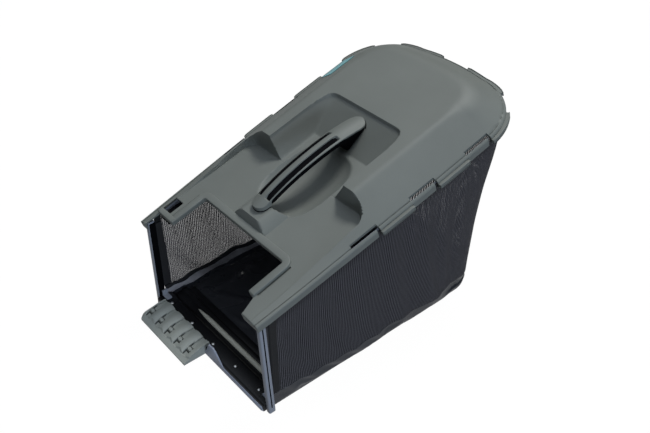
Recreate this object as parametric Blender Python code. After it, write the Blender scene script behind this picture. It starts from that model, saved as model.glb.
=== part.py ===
# Grass catcher: a moulded cover with a carrying handle, hooked onto a mesh bag with a coated floor,
# two front posts and a floor sill with a ribbed tongue.
# X is across the mouth, Y runs from the mouth to the back, Z is up. Sizes are written in millimetres.
# The cover is modelled in its own sloping frame: x across, v up the slope, n square to the slope.
import bpy
import bmesh
import math
from mathutils import Matrix, Vector

MM = 0.001

# Driving dimensions of the cover
FRONT_HEIGHT = 183.0
COVER_TILT = math.radians(16.5)
COVER_LENGTH = 566.0
BACK_HALF = 171.0
MOUTH_HALF = BACK_HALF - 16.0
SIDE_BOW = 1.6
CORNER_RADIUS_X = BACK_HALF - 70.0
CORNER_RADIUS_V = 98.0
BACK_CROWN = 6.0
COVER_WALL = 3.0
SKIRT_DEPTH = 11.0
RIM_UNDER = 0.45

# Features along the slope are drawn for a cover 566 long and stretch with it
STRETCH = COVER_LENGTH / 566.0

# Raised plateau, front zone and the shoulder between them
PLATEAU_HEIGHT = 40.0
PLATEAU_HALF = MOUTH_HALF - 47.0
PLATEAU_HALF_BACK = BACK_HALF - 57.0
PLATEAU_BACK_GAP = 50.0
PLATEAU_CORNER = 46.0
ZONE_HEIGHT = 4.0
ZONE_HALF = MOUTH_HALF - 14.0
ZONE_END = 228.0 * STRETCH
ZONE_CORNER = 24.0
SHOULDER_RUN_UP = 165.0 * STRETCH
RIDGE_START_HEIGHT = 12.0
MOULD_DRAFT = 0.16

# Handle recess and finger scoop
RECESS_HALF = PLATEAU_HALF - 20.0
RECESS_FLOOR_HALF = RECESS_HALF - 22.0
RECESS_END = 366.0 * STRETCH
RECESS_FLOOR_END = RECESS_END - 63.0
RECESS_CORNER = 20.0
RECESS_STEP = 0.3
SCOOP_HALF = RECESS_FLOOR_HALF - 8.0
SCOOP_START = 150.0 * STRETCH
SCOOP_END = RECESS_FLOOR_END - 6.0
SCOOP_DEPTH = 24.0

# Handle
HANDLE_HALF = 14.5
HANDLE_HALF_BACK = 17.0
HANDLE_START = SCOOP_START - 23.0
HANDLE_END = RECESS_END - 10.0
HANDLE_TOP = 46.0
HANDLE_THICKNESS = 13.0
HANDLE_FRONT_TOP = 28.5
HANDLE_BACK_TOP = 35.0
SEAT_HEIGHT = 20.0
SEAT_LENGTH = 24.0
GROOVE_WIDTH = 7.5
GROOVE_DEPTH = 5.0
STRIP_HALF = 4.3
STRIP_RISE = 2.2
SCREW_RADIUS = 4.5

# Cut-out over the mouth with its raised lip
CUTOUT_HALF = PLATEAU_HALF - 6.5
CUTOUT_END = HANDLE_START - 30.5
CUTOUT_CORNER = 5.0
LIP_WIDTH = 12.0
LIP_HEIGHT = 9.0
LIP_START = 33.0
HOOK_WIDTH = 10.0
EAR_INNER = CUTOUT_HALF + 19.5

# Clip slots and rails around the rim
RAIL_OUT = 6.5
RAIL_DROP = 1.5
BACK_RAIL_GAP = 28.0
RAIL_PITCH = 117.0 * STRETCH
FIRST_SLOT = 176.0 * STRETCH
SLOT_LENGTH = 53.0
SLOT_WIDTH = 2.6
FINGER_THICKNESS = 3.4

# Label on the left slope
LABEL_LENGTH = 58.0
LABEL_START = COVER_LENGTH - BACK_CROWN - CORNER_RADIUS_V - 2.0 - LABEL_LENGTH

# Bag
BAG_CLEARANCE = 0.5
CLOTH = 1.5
BASE_HALF = BACK_HALF - 13.0
BASE_TAPER = 4.0
BASE_START = 22.0
BASE_END = COVER_LENGTH - 89.0
BASE_CORNER = 55.0
BASE_SIDE_HEIGHT = 27.0
STRIP_DROP = 16.0
STRIP_WALL = 2.0
TAPE_WIDTH = 13.0
HEM_WIDTH = 12.0
TAPE_RISE = 16.0

# Front frame
POST_WIDTH = 9.0
POST_DEPTH = 12.0
POST_TOP_X = MOUTH_HALF - 8.0
POST_FOOT_X = BASE_HALF - 0.5
POST_TOP_Y = 6.0
POST_FOOT_Y = 8.0
SILL_HALF = BASE_HALF - 6.0
SILL_FRONT = 4.0
SILL_BACK = 62.0
SILL_HEIGHT = 15.0
SILL_PLATE = 3.0
SILL_STEP = 26.0
SILL_RIB = 10.0
SILL_RIB_RISE = 2.5
BATTEN_WIDTH = 12.0
BATTEN_THICKNESS = 2.5
TONGUE_START_X = 6.0 - SILL_HALF
TONGUE_END_X = -3.0
TONGUE_REACH = 42.0
TONGUE_RIBS = 5
TONGUE_OVERLAP = 8.0
TONGUE_EDGE = 4.0
TONGUE_RISE = 3.0
TONGUE_CORNER = 9.0
CHANNEL_HALF = 3.6
CHANNEL_DEPTH = 2.0
GUSSET_LENGTH = 54.0
GUSSET_TOP = 36.0
GUSSET_WALL = 3.0
RIVET_COUNT = 5
RIVET_PITCH = (SILL_HALF - 28.0) / 2.0
RIVET_RADIUS = 3.2
RIVET_IN = 13.0
SEAT_CLEARANCE = 0.3
CLIP_HEIGHT = 12.0
CLIP_REACH = 16.0
CLIP_WALL = 3.0

# Colours, as they look in daylight: red, green, blue, roughness
OLIVE_GREY = (0.14, 0.15, 0.135, 0.5)
BLACK_PLASTIC = (0.012, 0.012, 0.014, 0.4)
BLUE_GREY = (0.11, 0.12, 0.14, 0.45)
MESH_BLACK = (0.03, 0.028, 0.032, 0.9)
COATED = (0.022, 0.023, 0.026, 0.25)
STEEL = (0.55, 0.55, 0.55, 0.3)
TEAL = (0.02, 0.30, 0.34, 0.4)


# The origin sits on the ground under the middle of the whole catcher
BACK_RAIL_V = COVER_LENGTH - BACK_CROWN * (BACK_RAIL_GAP / (BACK_HALF - CORNER_RADIUS_X)) ** 2 + RAIL_OUT
BACK_Y = BACK_RAIL_V * math.cos(COVER_TILT) + (SKIRT_DEPTH - RAIL_DROP) * math.sin(COVER_TILT)
FRONT_Y = SILL_FRONT - TONGUE_REACH
MIDDLE_Y = (FRONT_Y + BACK_Y) / 2.0


def clear_scene():
    for thing in list(bpy.data.objects):
        bpy.data.objects.remove(thing, do_unlink=True)


def material(name, look, metallic=0.0):
    mat = bpy.data.materials.new(name)
    mat.use_nodes = True
    shader = mat.node_tree.nodes["Principled BSDF"]
    shader.inputs["Base Color"].default_value = (look[0], look[1], look[2], 1.0)
    shader.inputs["Roughness"].default_value = look[3]
    shader.inputs["Metallic"].default_value = metallic
    mat.diffuse_color = (look[0], look[1], look[2], 1.0)
    return mat


def add_object(name, verts, faces, look=None, metallic=0.0, parent=None):
    """One closed body from points in millimetres, in the parent's frame if it has one."""
    mesh = bpy.data.meshes.new(name)
    origin = Vector((0.0, 0.0, 0.0)) if parent else Vector((0.0, MIDDLE_Y, 0.0))
    mesh.from_pydata([(Vector(p) - origin) * MM for p in verts], [], faces)
    work = bmesh.new()
    work.from_mesh(mesh)
    bmesh.ops.remove_doubles(work, verts=work.verts, dist=1e-7)
    bmesh.ops.recalc_face_normals(work, faces=work.faces)
    work.to_mesh(mesh)
    work.free()
    thing = bpy.data.objects.new(name, mesh)
    bpy.context.scene.collection.objects.link(thing)
    if look:
        thing.data.materials.append(material(name, look, metallic))
    if parent:
        thing.parent = parent
    return thing


def as_cutter(thing):
    thing.hide_render = True
    thing.display_type = "WIRE"
    return thing


def combine(target, tool, operation):
    """Boolean of two bodies. The tool is kept hidden, as a cutter."""
    as_cutter(tool)
    step = target.modifiers.new(tool.name, "BOOLEAN")
    step.operation = operation
    step.object = tool
    step.solver = "EXACT"
    return target


def ring_solid(rings, closed_path=False):
    """Skin through rings of equal count. Ends are capped unless the path closes on itself."""
    count = len(rings[0])
    verts = [p for ring in rings for p in ring]
    faces = []
    spans = len(rings) if closed_path else len(rings) - 1
    for i in range(spans):
        a = i * count
        b = ((i + 1) % len(rings)) * count
        for j in range(count):
            k = (j + 1) % count
            faces.append((a + j, a + k, b + k, b + j))
    if not closed_path:
        faces.append(tuple(range(count))[::-1])
        faces.append(tuple(range((len(rings) - 1) * count, len(rings) * count)))
    return verts, faces


def arc(cx, cy, rx, ry, start, end, steps):
    """Points of an elliptic arc, angles in degrees, both ends included."""
    out = []
    for i in range(steps + 1):
        a = math.radians(start + (end - start) * i / steps)
        out.append((cx + rx * math.cos(a), cy + ry * math.sin(a)))
    return out


def smooth(t):
    t = min(max(t, 0.0), 1.0)
    return t * t * (3.0 - 2.0 * t)


# Outline of the cover's rim, as a walk along its right half from the front corner to the middle of the back
CORNER_V = COVER_LENGTH - BACK_CROWN - CORNER_RADIUS_V
CORNER_X = BACK_HALF - CORNER_RADIUS_X
CORNER_ARC = math.pi * 0.25 * (CORNER_RADIUS_X + CORNER_RADIUS_V)
HALF_WALK = CORNER_V + CORNER_ARC + CORNER_X


def side_half(v):
    """Half width of the rim at a place up the slope."""
    t = min(max(v / CORNER_V, 0.0), 1.0)
    return MOUTH_HALF + (BACK_HALF - MOUTH_HALF) * (1.0 - (1.0 - t) ** SIDE_BOW)


def rim_point(walk, inset=0.0):
    """Point (x, v) of the rim at a walked distance, moved inwards by the inset."""
    if walk <= CORNER_V:
        return side_half(walk) - inset, walk
    if walk <= CORNER_V + CORNER_ARC:
        a = (walk - CORNER_V) / CORNER_ARC * math.pi / 2.0
        x = CORNER_X + (CORNER_RADIUS_X - inset) * math.cos(a)
        return x, CORNER_V + (CORNER_RADIUS_V - inset) * math.sin(a)
    x = max(HALF_WALK - walk, 0.0)
    crown = BACK_CROWN * (1.0 - (x / CORNER_X) ** 2)
    return x, CORNER_V + CORNER_RADIUS_V + crown - inset


def rim_walk():
    """Stations of the walk used for every loft of the cover."""
    side = [ZONE_END * share for share in (0.0, 0.175, 0.351, 0.504, 0.658, 0.807, 0.908)]
    side += [ZONE_END - 11.0, ZONE_END + 9.0, (ZONE_END + LABEL_START) * 0.537]
    side += [LABEL_START, LABEL_START + LABEL_LENGTH, CORNER_V]
    corner = [CORNER_V + CORNER_ARC * i / 8.0 for i in range(1, 9)]
    back = [HALF_WALK - CORNER_X * 0.5, HALF_WALK]
    return side + corner + back


def crest_height(v):
    """Height of the sloping side's top edge: low beside the mouth, full from the shoulder back."""
    rise = smooth((v - ZONE_END + SHOULDER_RUN_UP) / SHOULDER_RUN_UP)
    return RIDGE_START_HEIGHT + (PLATEAU_HEIGHT - RIDGE_START_HEIGHT) * rise


def crest_point(walk, inset=0.0):
    """Point (x, v) of the plateau's edge that belongs to a walked distance of the rim."""
    back_v = COVER_LENGTH - PLATEAU_BACK_GAP - BACK_CROWN * 0.5
    centre_v = back_v - PLATEAU_CORNER
    centre_x = PLATEAU_HALF_BACK - PLATEAU_CORNER
    if walk <= CORNER_V:
        v = walk * centre_v / CORNER_V if walk > ZONE_END + 20.0 else walk
        half = PLATEAU_HALF + (PLATEAU_HALF_BACK - PLATEAU_HALF) * min(v / centre_v, 1.0)
        return half - inset, v
    if walk <= CORNER_V + CORNER_ARC:
        a = (walk - CORNER_V) / CORNER_ARC * math.pi / 2.0
        radius = PLATEAU_CORNER - inset
        return centre_x + radius * math.cos(a), centre_v + radius * math.sin(a)
    share = max(HALF_WALK - walk, 0.0) / CORNER_X
    return share * centre_x, back_v - inset + BACK_CROWN * 0.5 * (1.0 - share * share)


def mirrored_loft(name, levels, open_front=False, **rest):
    """Closed body from right-hand curves, lowest first, mirrored in x and capped left to right."""
    count = len(levels[0])
    verts = []
    for level in levels:
        verts += [tuple(p) for p in level]
        verts += [(-p[0], p[1], p[2]) for p in level]
    faces = []

    def right(level, i):
        return level * 2 * count + i

    def left(level, i):
        return level * 2 * count + count + i

    last = len(levels) - 1
    for level in range(last):
        for i in range(count - 1):
            up = level + 1
            faces.append((right(level, i), right(level, i + 1), right(up, i + 1), right(up, i)))
            faces.append((left(level, i + 1), left(level, i), left(up, i), left(up, i + 1)))
        if not open_front:
            faces.append((left(level, 0), right(level, 0), right(level + 1, 0), left(level + 1, 0)))
    if open_front:
        up_right = [right(level, 0) for level in range(last + 1)]
        down_left = [left(level, 0) for level in range(last, -1, -1)]
        faces.append(tuple(up_right + down_left))
    for level, flip in ((0, True), (last, False)):
        for i in range(count - 1):
            quad = [right(level, i), right(level, i + 1), left(level, i + 1), left(level, i)]
            if i == count - 2:
                quad.remove(left(level, i + 1))
            faces.append(tuple(quad[::-1]) if flip else tuple(quad))
    used = sorted({k for face in faces for k in face} | {left(lv, count - 1) for lv in range(last + 1)})
    where = {k: n for n, k in enumerate(used)}
    return add_object(name, [verts[k] for k in used], [tuple(where[k] for k in f) for f in faces], **rest)


def plan_prism(name, low, high, n_low, n_high, **rest):
    """Body between two plan outlines of equal count, given as (x, v) lists."""
    rings = [[(x, v, n_low) for x, v in low], [(x, v, n_high) for x, v in high]]
    return add_object(name, *ring_solid(rings), **rest)


def pocket_outline(half, end, radius, start, steps=6):
    """Plan outline open to the front, with two rounded corners at the back."""
    radius = min(radius, half * 0.9)
    right_arc = arc(half - radius, end - radius, radius, radius, 0.0, 90.0, steps)
    left_arc = [(-x, v) for x, v in right_arc[::-1]]
    return [(half, start)] + right_arc + left_arc + [(-half, start)]


def cover_outer(frame):
    walk = rim_walk()
    skirt = [(*rim_point(w), -SKIRT_DEPTH) for w in walk]
    rim = [(*rim_point(w), 0.0) for w in walk]
    crest = [(*crest_point(w), crest_height(crest_point(w)[1])) for w in walk]
    return mirrored_loft("top_cover", [skirt, rim, crest], look=OLIVE_GREY, parent=frame)


def cover_cavity(frame):
    """Hollow under the cover: the outer shape moved in by the wall."""
    walk = rim_walk()
    wall = COVER_WALL
    front = [max(rim_point(w)[1], wall) for w in walk]
    low = [(rim_point(w, wall)[0], max(rim_point(w, wall)[1], wall), -SKIRT_DEPTH - 30.0) for w in walk]
    rim = [(rim_point(w, wall)[0], max(rim_point(w, wall)[1], wall), -wall * RIM_UNDER) for w in walk]
    crest = []
    for w, v in zip(walk, front):
        x, own_v = crest_point(w, wall * 0.4)
        crest.append((x, max(own_v, wall), crest_height(own_v) - wall))
    return mirrored_loft("cavity", [low, rim, crest], parent=frame)


def zone_pocket(name, frame, grow=0.0):
    """The sunken front zone, drafted like the mould. Grown by the wall it limits the cavity."""
    top = PLATEAU_HEIGHT + 20.0
    draft = MOULD_DRAFT * (top - ZONE_HEIGHT)
    low = pocket_outline(ZONE_HALF + grow, ZONE_END + grow, ZONE_CORNER, -20.0)
    high = pocket_outline(ZONE_HALF + grow + draft, ZONE_END + grow + draft, ZONE_CORNER + draft, -20.0)
    return plan_prism(name, low, high, ZONE_HEIGHT - grow, top, parent=frame)


def recess(name, frame, grow=0.0):
    """Recess in the plateau around the handle, open towards the front zone."""
    floor = ZONE_HEIGHT - RECESS_STEP - grow
    top = PLATEAU_HEIGHT + 20.0
    more = (top - floor) / (PLATEAU_HEIGHT - ZONE_HEIGHT + RECESS_STEP)
    start = ZONE_END - 2.0 - grow
    half_slope = (RECESS_HALF - RECESS_FLOOR_HALF) * more
    end_slope = (RECESS_END - RECESS_FLOOR_END) * more
    low = pocket_outline(RECESS_FLOOR_HALF + grow, RECESS_FLOOR_END + grow, 5.0 + grow, start)
    high = pocket_outline(RECESS_FLOOR_HALF + grow + half_slope, RECESS_FLOOR_END + grow + end_slope,
                          RECESS_CORNER * more + grow, start)
    return plan_prism(name, low, high, floor, top, parent=frame)


def scoop(name, frame, grow=0.0, levels=(28.0, 0.0, -22.0, -42.0, -60.0, -76.0)):
    """Rounded hollow under the handle for the fingers, as rings from its top down."""
    middle = (SCOOP_START + SCOOP_END) / 2.0
    reach = (SCOOP_END - SCOOP_START) / 2.0 + grow
    half = SCOOP_HALF + grow
    depth = SCOOP_DEPTH + grow
    rings = []
    for level in levels:
        a = math.radians(level)
        size = math.cos(a) if level <= 0 else 1.0
        n = ZONE_HEIGHT + (depth * math.sin(a) if level <= 0 else level * 0.5)
        ring = []
        for i in range(28):
            b = 2.0 * math.pi * i / 28.0
            x = half * size * math.copysign(abs(math.cos(b)) ** 0.72, math.cos(b))
            v = reach * size * math.copysign(abs(math.sin(b)) ** 0.72, math.sin(b))
            ring.append((x, middle + v, n))
        rings.append(ring)
    return add_object(name, *ring_solid(rings), parent=frame)


def seat_boss(frame):
    """Flared boss that carries the handle's front foot."""
    rings = []
    low = ZONE_HEIGHT - 1.5
    for i in range(6):
        t = i / 5.0
        flare = (1.0 - t) ** 1.7
        half = HANDLE_HALF - 1.0 + 31.0 * flare
        front = HANDLE_START + 2.0 - 22.0 * flare
        back = HANDLE_START + SEAT_LENGTH + 14.0 * flare
        n = low + (SEAT_HEIGHT - low) * t
        ring = [(half * 0.76, front), (half, front + (back - front) * 0.35), (half, back)]
        ring += [(-x, v) for x, v in ring[::-1]]
        rings.append([(x, v, n) for x, v in ring])
    return add_object("seat_boss", *ring_solid(rings), parent=frame)


def cutout_outline(grow, start, steps=4):
    return pocket_outline(CUTOUT_HALF + grow, CUTOUT_END + grow, CUTOUT_CORNER + grow, start, steps)


def mouth_cutout(frame):
    """Opening over the mouth. On the left it runs on to the rim band, on the right it leaves an ear."""
    back = cutout_outline(0.0, LIP_START)
    outline = [(EAR_INNER, -20.0), (EAR_INNER, 4.0), (CUTOUT_HALF + LIP_WIDTH, LIP_START - 5.0)]
    outline += [(CUTOUT_HALF, LIP_START - 3.0)] + back[1:-1]
    outline += [(-CUTOUT_HALF, LIP_START - 3.0), (-ZONE_HALF, LIP_START - 3.0), (-ZONE_HALF, -20.0)]
    return plan_prism("mouth_cutout", outline, outline, -60.0, 60.0, parent=frame)


def hook_pocket(frame):
    """Hole beside the left rim band, behind the lip's hook, where the catcher's bracket goes in."""
    left = -ZONE_HALF - 4.0
    right = -CUTOUT_HALF - LIP_WIDTH - 10.5
    front = LIP_START + HOOK_WIDTH - 2.5
    outline = [(left, front), (right, front), (right, front + 27.0), (left, front + 27.0)]
    return plan_prism("hook_pocket", outline, outline, -60.0, 60.0, parent=frame)


def lip(frame):
    """Raised bead round the cut-out, with its hook at the left end."""
    edge = [(-0.8, 0.6), (-0.8, LIP_HEIGHT - 2.4), (1.8, LIP_HEIGHT), (LIP_WIDTH - 2.6, LIP_HEIGHT),
            (LIP_WIDTH, LIP_HEIGHT - 2.4), (LIP_WIDTH, 0.6)]
    start = LIP_START - 1.5
    curves = [cutout_outline(grow, start) for grow, n in edge]
    rings = []
    for i in range(len(curves[0])):
        rings.append([(curve[i][0], curve[i][1], n) for curve, (grow, n) in zip(curves, edge)])
    return add_object("lip", *ring_solid(rings), parent=frame)


def lip_hook(frame):
    reach = ZONE_HALF + 1.5
    start = LIP_START - 3.6
    edge = [(0.0, 0.4), (0.0, LIP_HEIGHT - 2.0), (1.8, LIP_HEIGHT - 0.2), (HOOK_WIDTH - 1.8, LIP_HEIGHT - 0.2),
            (HOOK_WIDTH, LIP_HEIGHT - 2.0), (HOOK_WIDTH, 0.4)]
    rings = []
    for x in (-reach, -CUTOUT_HALF - 4.0):
        rings.append([(x, start + across, n) for across, n in edge])
    return add_object("lip_hook", *ring_solid(rings), parent=frame)


def leg_groove(frame, side):
    """Narrow channel along the outer side of the lip's leg."""
    a = side * (CUTOUT_HALF + LIP_WIDTH - 0.6)
    b = a + side * 4.6
    outline = [(a, LIP_START + 2.0), (b, LIP_START + 2.0), (b, CUTOUT_END + 8.0), (a, CUTOUT_END + 8.0)]
    name = "leg_groove_right" if side > 0 else "leg_groove_left"
    return plan_prism(name, outline, outline, 1.6, 30.0, parent=frame)


def rim_bar(name, start, end, inset, outset, n_low, n_high, frame, side=1.0, steps=6):
    """Bar that follows the rim between two walked distances."""
    rings = []
    for i in range(steps + 1):
        walk = start + (end - start) * i / steps
        x0, v0 = rim_point(walk, inset)
        x1, v1 = rim_point(walk, -outset)
        ring = [(x0, v0, n_low), (x1, v1, n_low), (x1, v1, n_high), (x0, v0, n_high)]
        rings.append([(side * x, v, n) for x, v, n in ring])
    return add_object(name, *ring_solid(rings), parent=frame)


def slot_starts():
    return [FIRST_SLOT + RAIL_PITCH * i for i in range(3)]


def rails():
    """Walked start and end of each rail between the slots, on the right half."""
    spans = [(start + SLOT_LENGTH - 1.0, start + RAIL_PITCH) for start in slot_starts()]
    return spans + [(CORNER_V + CORNER_ARC * 0.71, HALF_WALK - BACK_RAIL_GAP)]


def top_cover(frame):
    cover = cover_outer(frame)
    combine(cover, zone_pocket("zone_pocket", frame), "DIFFERENCE")
    combine(cover, seat_boss(frame), "UNION")
    bowl = scoop("scoop_bowl", frame, COVER_WALL * 1.5, (-10.0, -32.0, -50.0, -64.0, -78.0))
    combine(cover, bowl, "UNION")
    for side, word in ((1.0, "right"), (-1.0, "left")):
        for i, (start, end) in enumerate(rails()):
            steps = 8 if start > CORNER_V - 20.0 else (6 if end > CORNER_V else 1)
            bar = rim_bar(f"rail_{word}_{i + 1}", start, end, 1.0, RAIL_OUT, -SKIRT_DEPTH + RAIL_DROP, -0.6,
                          frame, side, steps)
            combine(cover, bar, "UNION")
    hollow = cover_cavity(frame)
    combine(hollow, zone_pocket("zone_pocket_skin", frame, COVER_WALL), "DIFFERENCE")
    combine(hollow, recess("recess_skin", frame, COVER_WALL), "DIFFERENCE")
    combine(hollow, scoop("scoop_skin", frame, COVER_WALL), "DIFFERENCE")
    combine(cover, hollow, "DIFFERENCE")
    combine(cover, recess("recess", frame), "DIFFERENCE")
    combine(cover, scoop("scoop", frame), "DIFFERENCE")
    combine(cover, mouth_cutout(frame), "DIFFERENCE")
    combine(cover, hook_pocket(frame), "DIFFERENCE")
    combine(cover, lip(frame), "UNION")
    combine(cover, lip_hook(frame), "UNION")
    for side in (1.0, -1.0):
        combine(cover, leg_groove(frame, side), "DIFFERENCE")
    for side, word in ((1.0, "right"), (-1.0, "left")):
        for i, start in enumerate(slot_starts()):
            end = start + SLOT_LENGTH
            cut = rim_bar(f"slot_{word}_{i + 1}", start + 4.0, end - 0.7, FINGER_THICKNESS + SLOT_WIDTH,
                          -FINGER_THICKNESS, -40.0, 20.0, frame, side, 1)
            combine(cover, cut, "DIFFERENCE")
            cut = rim_bar(f"slot_end_{word}_{i + 1}", end - SLOT_WIDTH, end,
                          FINGER_THICKNESS + SLOT_WIDTH * 0.6, RAIL_OUT + 2.0, -40.0, 20.0, frame, side, 1)
            combine(cover, cut, "DIFFERENCE")
    return cover


RECESS_GAIN = (PLATEAU_HEIGHT - ZONE_HEIGHT + RECESS_STEP) / (RECESS_END - RECESS_FLOOR_END)


def recess_slope(v):
    """Height of the recess's back slope."""
    return ZONE_HEIGHT - RECESS_STEP + (v - RECESS_FLOOR_END) * RECESS_GAIN


GRIP_START = HANDLE_START + 19.0
GRIP_END = HANDLE_END - 58.0


def handle_top(v):
    """Arch of the handle's top, from the front foot over the grip to the back foot."""
    t = (v - HANDLE_START) / (HANDLE_END - HANDLE_START)
    ends = HANDLE_FRONT_TOP + (HANDLE_BACK_TOP - HANDLE_FRONT_TOP) * t
    arch = HANDLE_TOP - (HANDLE_FRONT_TOP + HANDLE_BACK_TOP) / 2.0
    return ends + arch * (1.0 - abs(2.0 * t - 1.0) ** 2.2)


def handle_plan(frame):
    """Plan of the handle: straight sides and round ends, used to trim the arched profile."""
    half = HANDLE_HALF
    wide = HANDLE_HALF_BACK
    back = arc(0.0, HANDLE_END - wide, wide, wide, 0.0, 180.0, 10)
    front = arc(0.0, HANDLE_START + half, half, half, 180.0, 360.0, 10)
    return plan_prism("handle_plan", back + front, back + front, -40.0, 80.0, parent=frame)


def handle(frame):
    steps = 16
    top = []
    for i in range(steps + 1):
        v = HANDLE_START - 2.0 + (HANDLE_END - HANDLE_START + 4.0) * i / steps
        top.append((v, handle_top(min(max(v, HANDLE_START), HANDLE_END))))
    seat = SEAT_HEIGHT + SEAT_CLEARANCE
    inner_front = HANDLE_START + SEAT_LENGTH + 2.0
    inner_back = RECESS_FLOOR_END + 8.0
    under = []
    for i in range(11):
        v = inner_front + 14.0 + (inner_back - inner_front - 26.0) * i / 10.0
        under.append((v, handle_top(v) - HANDLE_THICKNESS))
    lift = SEAT_CLEARANCE * 1.6
    back_seat = [(inner_back, recess_slope(inner_back) + lift), (HANDLE_END + 2.0, recess_slope(HANDLE_END + 2.0) + lift)]
    profile = [(HANDLE_START - 2.0, seat), (inner_front, seat)] + under + back_seat + top[::-1]
    rings = []
    for x in (-HANDLE_HALF_BACK - 3.0, HANDLE_HALF_BACK + 3.0):
        rings.append([(x, v, n) for v, n in profile])
    grip = add_object("handle", *ring_solid(rings), look=OLIVE_GREY, parent=frame)
    combine(grip, handle_plan(frame), "INTERSECT")
    soft = grip.modifiers.new("edges", "BEVEL")
    soft.width = 1.6 * MM
    soft.segments = 2
    soft.limit_method = "ANGLE"
    soft.angle_limit = math.radians(50.0)
    for side, word in ((-1.0, "left"), (1.0, "right")):
        combine(grip, grip_groove(f"groove_{word}", frame, side), "DIFFERENCE")
    combine(grip, grip_strip(frame), "UNION")
    return grip


def grip_strip(frame):
    """Raised strip between the two channels of the grip, run out at both ends."""
    rings = []
    half = STRIP_HALF - 0.4
    for i in range(13):
        t = i / 12.0
        v = GRIP_START - 2.0 + (GRIP_END - GRIP_START + 4.0) * t
        high = handle_top(v) - 0.6 + (STRIP_RISE + 0.6) * smooth(min(t, 1.0 - t) * 6.0)
        low = handle_top(v) - GROOVE_DEPTH * 0.6
        rings.append([(-half, v, low), (half, v, low), (half, v, high - 0.8), (half - 1.2, v, high),
                      (1.2 - half, v, high), (-half, v, high - 0.8)])
    return add_object("grip_strip", *ring_solid(rings), parent=frame)


def grip_groove(name, frame, side):
    """Channel along the grip, following the arch."""
    start = GRIP_START
    end = GRIP_END
    rings = []
    inner = side * STRIP_HALF
    outer = side * (STRIP_HALF + GROOVE_WIDTH)
    for i in range(13):
        v = start + (end - start) * i / 12.0
        low = handle_top(v) - GROOVE_DEPTH
        rings.append([(inner, v, low), (outer, v, low), (outer, v, low + 30.0), (inner, v, low + 30.0)])
    return add_object(name, *ring_solid(rings), parent=frame)


def turned(name, profile, centre, axis_matrix, look, metallic, sides=16, parent=None):
    """Body of revolution from (radius, height) points; a zero radius closes it."""
    verts = []
    faces = []
    rows = []
    for radius, height in profile:
        if radius == 0.0:
            rows.append([len(verts)])
            verts.append((0.0, 0.0, height))
        else:
            rows.append(list(range(len(verts), len(verts) + sides)))
            for i in range(sides):
                a = 2.0 * math.pi * i / sides
                verts.append((radius * math.cos(a), radius * math.sin(a), height))
    for low, high in zip(rows, rows[1:]):
        for i in range(sides):
            j = (i + 1) % sides
            if len(low) == 1:
                faces.append((low[0], high[j], high[i]))
            elif len(high) == 1:
                faces.append((low[i], low[j], high[0]))
            else:
                faces.append((low[i], low[j], high[j], high[i]))
    placed = [axis_matrix @ Vector(p) + Vector(centre) for p in verts]
    return add_object(name, placed, faces, look, metallic, parent)


SLOPE = Matrix.Rotation(COVER_TILT, 4, "X")


def world(x, v, n):
    """A point of the cover's frame in world millimetres."""
    p = SLOPE @ Vector((x, v, n))
    return p.x, p.y, p.z + FRONT_HEIGHT


BASE_STRAIGHT = BASE_END - BASE_CORNER - BASE_START
BASE_ARC = BASE_CORNER * math.pi / 2.0
BASE_WALK = BASE_STRAIGHT + BASE_ARC + BASE_HALF - BASE_CORNER


def base_point(share, inset):
    """Point (x, y) of the bag floor's outline. The share runs 0 to 1 with the rim's own walk."""
    straight = CORNER_V / HALF_WALK
    corner = (CORNER_V + CORNER_ARC) / HALF_WALK
    if share <= straight:
        along = share / straight
        return BASE_HALF - BASE_TAPER * (1.0 - along) ** 2 - inset, BASE_START + BASE_STRAIGHT * along
    if share <= corner:
        a = (share - straight) / (corner - straight) * math.pi / 2.0
        radius = BASE_CORNER - inset
        return BASE_HALF - BASE_CORNER + radius * math.cos(a), BASE_END - BASE_CORNER + radius * math.sin(a)
    x = (BASE_HALF - BASE_CORNER) * (1.0 - share) / (1.0 - corner)
    return x, BASE_END - inset


BAG_TOP_INSET = COVER_WALL + BAG_CLEARANCE
BAG_FRONT_WALK = BASE_START


def bag_shares():
    """Stations of the bag's wall: the cover's own, so that the bag runs parallel to the rim."""
    start = BAG_FRONT_WALK
    end = LABEL_START + LABEL_LENGTH
    return [start, start + HEM_WIDTH] + [w for w in rim_walk() if w > start + HEM_WIDTH + 1.0 and w != end]


def bag_wall_point(walk, height_share, inset):
    """Point of the bag's wall between the floor's outline and the rim."""
    rim_n = -2.0
    x1, v1 = rim_point(walk, BAG_TOP_INSET + inset)
    top = Vector(world(x1, v1, rim_n))
    share = (walk - BAG_FRONT_WALK) / (HALF_WALK - BAG_FRONT_WALK)
    x0, y0 = base_point(share, inset)
    foot = Vector((x0, y0, 0.0))
    p = foot.lerp(top, height_share)
    return p


def point_at_height(walk, height, inset):
    """Point of the bag's wall at a height above the ground."""
    top = bag_wall_point(walk, 1.0, inset)
    return bag_wall_point(walk, height / top.z, inset)


def mirrored_sweep(name, half_rings, look):
    """Closed U-shaped body from sections of its right half, last one on the middle plane."""
    left = [[(-p[0], p[1], p[2]) for p in ring] for ring in half_rings[:-1]]
    rings = left + half_rings[::-1]
    return add_object(name, *ring_solid(rings), look=look)


def mesh_bag():
    """Mesh walls in one piece: left, back and right."""
    rings = []
    for walk in bag_shares():
        low = BASE_SIDE_HEIGHT + BAG_CLEARANCE
        rings.append([tuple(point_at_height(walk, low, 0.0)), tuple(bag_wall_point(walk, 1.0, 0.0)),
                      tuple(bag_wall_point(walk, 1.0, CLOTH)), tuple(point_at_height(walk, low, CLOTH))])
    return mirrored_sweep("mesh_bag", rings, MESH_BLACK)


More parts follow.
